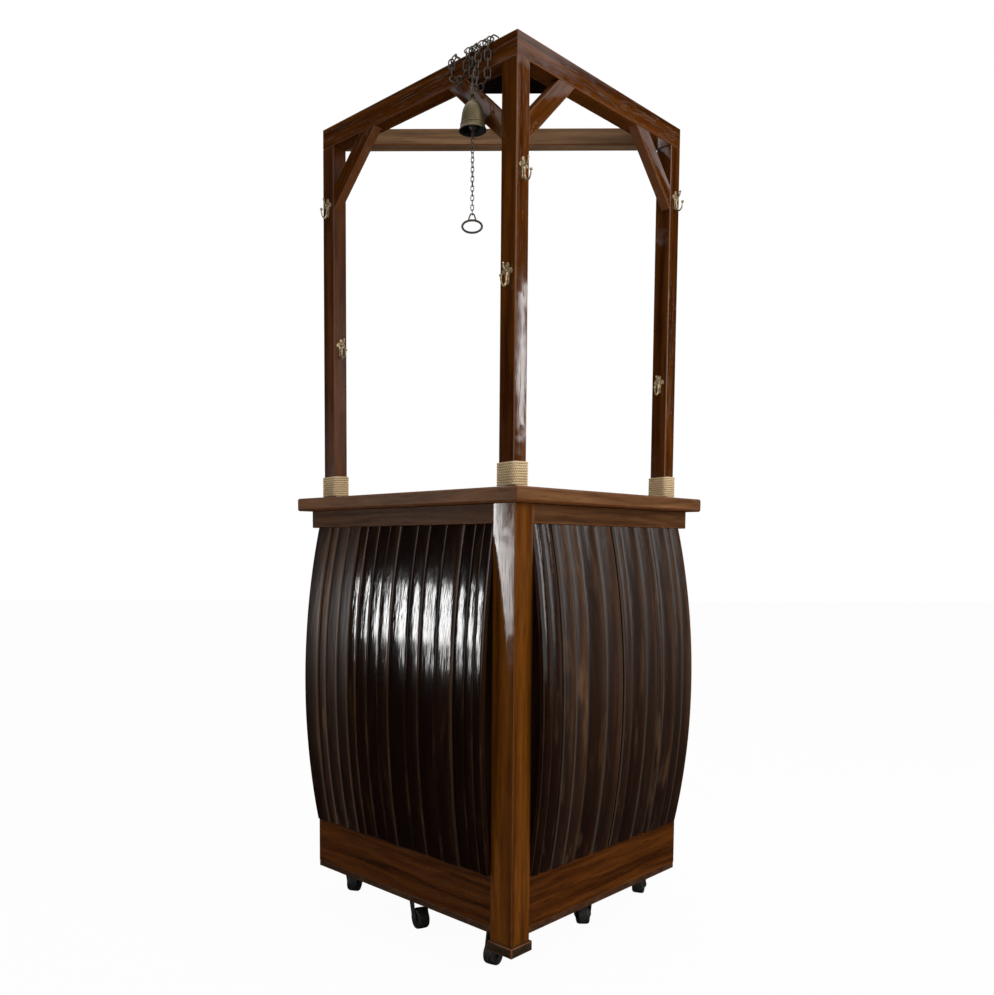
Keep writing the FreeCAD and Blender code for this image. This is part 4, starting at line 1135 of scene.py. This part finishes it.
class BAR_OT_carcass(bpy.types.Operator):
    """Corner post, pad, aprons, skirts and the boards behind them"""

    bl_idname = "bar.carcass"
    bl_label = "Carcass"
    bl_options = {"REGISTER", "UNDO"}

    def inner_board(self, node, finish, soft, seed):
        """A board of the inside; soft is the share of the usual arris."""
        arris = bpy.context.scene.bar_sizes.arris * soft
        dressed(node, COUNTER, finish, arris, None, seed)

    def execute(self, context):
        outer_boards("frame_wood",
                     ("corner_post", wood("frame", lean=UPRIGHT), 1.3),
                     ("pad_block", wood("pad"), 5.1))
        for side, heading in HEADINGS.items():
            seed = 2.1 + heading
            outer_boards("frame_wood",
                         ("apron_" + side, wood("apron", heading), seed),
                         ("skirt_" + side, wood("deep", heading, shine=SKIRT_SHINE), seed + 4.0))
            self.inner_board("end_panel_" + side, wood("inner", lean=UPRIGHT), 1.0, seed + 6.0)
            self.inner_board("lining_" + side, wood("inner", lean=UPRIGHT), 0.5, seed + 8.0)
        for node, seed in (("bottom_board", 8.4), ("shelf", 3.5), ("back_rail", 6.3)):
            self.inner_board(node, wood("inner"), 0.7, seed)
        for node, seed in (("upper_battens", 11.7), ("stave_cleats", 10.8), ("shelf_bearers", 11.7)):
            self.inner_board(node, wood("inner", HEADINGS["left"]), 0.7, seed)
        return {"FINISHED"}


class BAR_OT_top(bpy.types.Operator):
    """Two mitred slabs of the counter top"""

    bl_idname = "bar.top"
    bl_label = "Counter top"
    bl_options = {"REGISTER", "UNDO"}

    def execute(self, context):
        outer_boards("top_wood",
                     ("counter_top_left", wood("top", HEADINGS["left"]), 11.0),
                     ("counter_top_right", wood("top", HEADINGS["right"]), 14.0))
        return {"FINISHED"}


class BAR_OT_canopy(bpy.types.Operator):
    """Posts, beams, braces and gusset of the canopy"""

    bl_idname = "bar.canopy"
    bl_label = "Canopy"
    bl_options = {"REGISTER", "UNDO"}

    def execute(self, context):
        outer_boards("frame_wood",
                     ("canopy_post_front", wood("deep", lean=UPRIGHT), 21.0),
                     ("canopy_post_left", wood("deep", lean=UPRIGHT, shine=LEFT_POST_SHINE), 23.0),
                     ("canopy_post_right", wood("deep", lean=UPRIGHT), 25.0),
                     ("canopy_beam_left", wood("deep", HEADINGS["left"]), 27.0),
                     ("canopy_beam_right", wood("deep", HEADINGS["right"]), 29.0),
                     # The back beam's lighter rail colours are a painted sheen
                     ("canopy_beam_back", wood("rail"), 31.0))
        for side, heading in HEADINGS.items():
            outer_boards("frame_wood",
                         ("front_brace_" + side, wood("deep", heading, EIGHTH), 33.0 + heading),
                         ("end_brace_" + side, wood("deep", heading, -EIGHTH), 37.0 + heading))
        arris = context.scene.bar_sizes.arris
        # The gusset's nearly black wood is painted shade
        dressed("corner_gusset", COUNTER, wood("gusset"), arris, None, 41.0)
        return {"FINISHED"}


class BAR_OT_staves(bpy.types.Operator):
    """Bowed staves of both faces"""

    bl_idname = "bar.staves"
    bl_label = "Staves"
    bl_options = {"REGISTER", "UNDO"}

    # Share of brown in each stave, from left to right: the staves differ one by one, the right face's
    # higher shares also paint it as the lit face, and the second left stave's 0.90 is a painted sheen
    left_tones = (0.40, 0.90, 0.55, 0.36, 0.20, 0.12, 0.05, 0.16, 0.03, 0.12, 0.04, 0.15, 0.03, 0.10, 0.06)
    right_tones = (0.18, 0.26, 0.50, 0.74, 0.30, 0.50, 0.62, 0.34, 0.48, 0.56, 0.42, 0.52, 0.60)

    def execute(self, context):
        sizes = context.scene.bar_sizes
        left = stave_wood("stave_wood"), stave_wood("stave_wood_dull")
        right = stave_wood("stave_wood"), stave_wood("stave_wood_dry")
        for node, side, tones, crown, finishes in (
                ("staves_left", -1, self.left_tones, sizes.left_crown, left),
                ("staves_right", 1, self.right_tones, sizes.right_crown, right)):
            piece(node, stave_mesh(node, side, tones, crown, finishes), COUNTER)
        return {"FINISHED"}


class BAR_OT_ropes(bpy.types.Operator):
    """Rope lashings round the feet of the canopy posts"""

    bl_idname = "bar.ropes"
    bl_label = "Rope lashings"
    bl_options = {"REGISTER", "UNDO"}

    def execute(self, context):
        sizes = context.scene.bar_sizes
        low, high = (corner.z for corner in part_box("rope_wraps"))
        low, high = low + sizes.rope / 2, high - sizes.rope / 2
        lines = [lashing(middle_of("canopy_post_" + name), sizes.post_half, sizes.rope, low, high)
                 for name in POSTS]
        piece("rope_wraps", rope_mesh(lines, sizes.rope, sizes.rope_lay), COUNTER)
        return {"FINISHED"}


class BAR_OT_chains(bpy.types.Operator):
    """Beam chain that carries the bell, and the pull chain under it"""

    bl_idname = "bar.chains"
    bl_label = "Chains"
    bl_options = {"REGISTER", "UNDO"}

    def execute(self, context):
        sizes = context.scene.bar_sizes
        for node, body, wire, width in (("beam_chain", COUNTER, sizes.link_wire, sizes.link_width),
                                        ("pull_chain", "pull_chain", sizes.pull_wire, sizes.pull_width)):
            piece(node, chain_mesh(node, wire, width), body)
        return {"FINISHED"}


class BAR_OT_bell(bpy.types.Operator):
    """Bell with its eye and staple, the clapper and the pull handle"""

    bl_idname = "bar.bell"
    bl_label = "Bell"
    bl_options = {"REGISTER", "UNDO"}

    # Bell: half outline from mouth to crown, rounded lip, bead, eye, its stem, and the staple inside
    tall = 0.061
    outline = ((0.0290, 0.0), (0.0289, 0.0016), (0.0280, 0.0034), (0.0268, 0.0066), (0.0258, 0.0120),
               (0.0248, 0.0190), (0.0238, 0.0270), (0.0227, 0.0345), (0.0212, 0.0410), (0.0190, 0.0470),
               (0.0160, 0.0519), (0.0128, 0.0555), (0.0102, 0.0580), (0.0086, 0.0598), (0.0, tall))
    lip = [(0.0268, 0.0012), (0.0270, 0.0), (0.0283, 0.0)]
    bead = [(0.0258, 0.0116), (0.0264, 0.0123), (0.0263, 0.0134), (0.0254, 0.0144)]
    around = 64
    eye_radius, eye_wire = 0.006, 0.002
    stem_half, stem_radii = 0.002, [0.0046, 0.0028]
    staple_half, staple_bend, staple_drop, staple_tall, staple_wire = 0.0045, 0.0030, 0.0012, 0.0085, 0.0015

    # Clapper: a ring at each end of a thickened shank, and the ball
    tail_radius, head_radius, ring_wire = 0.0036, 0.0030, 0.0012
    ball_radius, ball_rise = 0.008, 0.0034
    shank_swell, shank_drop, shank_radii = 0.012, 0.0028, [0.0018, 0.0022, 0.0019]

    # Handle: an oval grip and the wire loop over it, as pairs across and up
    grip_width, grip_tall, grip_wire = 0.046, 0.030, 0.0023
    loop_tall, loop_wire = 0.013, 0.0015
    loop_half = ((0.001, 0.0), (0.0072, 0.0), (0.0052, 0.0080), (0.0030, 0.0125))

    def bell(self, axis, swing, beside, hang, wall):
        low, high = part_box("bell")
        line = eased([(radius, height, 0) for radius, height in self.outline], 3)
        skin = [(max(point.x, 0.0), point.y) for point in line[:-1]] + [(0.0, self.tall)]
        thinned = 1 - wall / self.tall
        inner = [(max(radius - wall, 0.0), height * thinned) for radius, height in skin]
        hollow = inner[:3:-1]
        crown = axis + UP * (low.z + self.tall)
        stem = [crown - UP * self.stem_half, crown + UP * self.stem_half]
        eye = axis + UP * (high.z - self.eye_radius - self.eye_wire)
        half, bend, drop = swing * self.staple_half, swing * self.staple_bend, UP * self.staple_drop
        rise = UP * self.staple_tall
        staple = eased([hang - half + rise, hang - half, hang - bend - drop,
                        hang + bend - drop, hang + half, hang + half + rise], 4)
        lines = [bar(ring(eye, beside * self.eye_radius, UP * self.eye_radius), self.eye_wire, True),
                 (stem, self.stem_radii, False), bar(staple, self.staple_wire)]
        mouth = Matrix.Translation(axis + UP * low.z)
        parts = [(lathe(hollow + self.lip + skin, self.around), mouth),
                 (lathe(self.bead, self.around, True), mouth), (bars("bell_bars", lines), STILL)]
        mesh = joined("bell_finished", parts, cast_metal("bell_bronze"), CREASE_ANGLE)
        # Painted shade: the inside faces of the bell take the nearly black hollow finish
        mesh.materials.append(cast_metal("bell_hollow"))
        for face in mesh.polygons[:self.around * len(hollow)]:
            face.material_index = 1
        piece("bell", mesh, "bell")

    def clapper(self, axis, beside, hang):
        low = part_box("clapper")[0].z
        tail = axis + UP * (low + self.ring_wire + self.tail_radius)
        head = axis + UP * hang.z
        ball = tail + UP * self.ball_rise
        lines = [bar(ring(middle, beside * radius, UP * radius, 18), self.ring_wire, True)
                 for middle, radius in ((tail, self.tail_radius), (head, self.head_radius))]
        shank = [ball, tail + UP * self.shank_swell, head - UP * self.shank_drop]
        lines.append((shank, self.shank_radii, False))
        profile = ball_profile(self.ball_radius, 16, self.ball_radius)
        parts = [(lathe(profile, 32), Matrix.Translation(ball)), (bars("clapper_bars", lines), STILL)]
        mesh = joined("clapper_finished", parts, cast_metal("rusty_iron"), CREASE_ANGLE)
        piece("clapper", mesh, "clapper")

    def handle(self):
        place = middle_of("pull_handle")
        place.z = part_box("pull_handle")[1].z - self.loop_wire - self.loop_tall
        half_width = self.grip_width / 2 - self.grip_wire
        half_tall = self.grip_tall / 2 - self.grip_wire
        grip = ring(place - UP * half_tall, SIDE * half_width, UP * half_tall, 40)
        left = [place - SIDE * across + UP * up for across, up in self.loop_half]
        right = [place + SIDE * across + UP * up for across, up in self.loop_half[::-1]]
        lines = [bar(grip, self.grip_wire, True), bar(eased(left + right, 5), self.loop_wire)]
        parts = [(bars("handle_bars", lines), STILL)]
        mesh = joined("pull_handle_finished", parts, cast_metal("rusty_iron"), ROUND_ANGLE)
        piece("pull_handle", mesh, "pull_handle")

    def execute(self, context):
        pivot = JOINTS["bell_swing"]["pos_m"]
        axis = Vector((pivot[0], pivot[1], 0))
        swing = Vector(JOINTS["bell_swing"]["axis"]).normalized()
        beside = Vector((-swing.y, swing.x, 0))
        hang = Vector(JOINTS["clapper_swing"]["pos_m"])
        self.bell(axis, swing, beside, hang, context.scene.bar_sizes.bell_wall)
        self.clapper(axis, beside, hang)
        self.handle()
        return {"FINISHED"}


class BAR_OT_hooks(bpy.types.Operator):
    """Cast hooks on the canopy posts"""

    bl_idname = "bar.hooks"
    bl_label = "Hooks"
    bl_options = {"REGISTER", "UNDO"}

    def execute(self, context):
        sizes = context.scene.bar_sizes
        places, turns = hook_places(sizes.post_half)
        if len(places) != HOOK_COUNT:
            raise RuntimeError("found %d hooks, not %d" % (len(places), HOOK_COUNT))
        growth = Growth("hooks", {"Size": sizes.hook_size})
        hooks = growth.on_points(growth.form(hook_form()), growth.given("Size"))
        mesh = growth.baked(points_mesh(places, turn=turns), hooks, cast_metal("hook_brass"))
        piece("post_hooks", mesh, COUNTER)
        return {"FINISHED"}


class BAR_OT_casters(bpy.types.Operator):
    """Caster plates, forks and wheels"""

    bl_idname = "bar.casters"
    bl_label = "Casters"
    bl_options = {"REGISTER", "UNDO"}

    # Half outline of a wheel from hub to tread, as shares of its radius and of half its width
    wheel_outline = ((0.0, 0.78), (0.23, 0.78), (0.26, 0.71), (0.28, 0.58), (0.64, 0.58), (0.68, 0.69),
                     (0.76, 0.96), (0.82, 1.0), (0.91, 0.95), (0.97, 0.80), (0.995, 0.56), (1.0, 0.27))

    def wheel(self, name, sizes):
        node = "caster_wheel_" + name
        joint = JOINTS["roll_" + name]
        half_width = sizes.wheel_width / 2
        half = [(sizes.wheel_radius * out, half_width * wide) for out, wide in self.wheel_outline]
        profile = half + [(radius, -height) for radius, height in half[::-1]]
        turn = UP.rotation_difference(Vector(joint["axis"])).to_matrix().to_4x4()
        place = Matrix.Translation(joint["pos_m"]) @ turn
        mesh = joined(node, [(lathe(profile, 48), place)], hard_tyre(), ARRIS_ANGLE)
        piece(node, mesh, "wheel_" + name)

    def execute(self, context):
        sizes = context.scene.bar_sizes
        metal = cast_metal("caster_metal")
        dressed("caster_plates", COUNTER, metal, sizes.metal_arris)
        for name in CASTERS:
            dressed("caster_fork_" + name, "fork_" + name, metal, sizes.metal_arris)
            self.wheel(name, sizes)
        return {"FINISHED"}


class BAR_PT_panel(bpy.types.Panel):
    """Sidebar panel with every piece of the bar counter"""

    bl_idname = "BAR_PT_panel"
    bl_label = "Bar counter"
    bl_space_type = "VIEW_3D"
    bl_region_type = "UI"
    bl_category = "Bar"

    def draw(self, context):
        for operator in OPERATORS:
            self.layout.operator(operator.bl_idname, text=operator.bl_label)
        for name in GROUPS:
            group = getattr(context.scene, name)
            box = self.layout.box()
            for label in group.bl_rna.properties.keys():
                if label not in ("rna_type", "name"):
                    box.prop(group, label)


OPERATORS = (BAR_OT_stage, BAR_OT_carcass, BAR_OT_top, BAR_OT_canopy, BAR_OT_staves, BAR_OT_ropes,
             BAR_OT_chains, BAR_OT_bell, BAR_OT_hooks, BAR_OT_casters)
GROUPS = {"bar_sizes": BarSizes, "bar_colours": BarColours, "bar_light": BarLight}
CLASSES = tuple(GROUPS.values()) + OPERATORS + (BAR_PT_panel,)


def register():
    for kind in CLASSES:
        bpy.utils.register_class(kind)
    for name, kind in GROUPS.items():
        setattr(bpy.types.Scene, name, PointerProperty(type=kind))


def unregister():
    for name in GROUPS:
        delattr(bpy.types.Scene, name)
    for kind in reversed(CLASSES):
        bpy.utils.unregister_class(kind)


def main():
    register()
    for operator in OPERATORS:
        group, name = operator.bl_idname.split(".")
        if getattr(getattr(bpy.ops, group), name)() != {"FINISHED"}:
            raise RuntimeError("%s did not finish" % operator.bl_label)


if __name__ == "__main__":
    main()
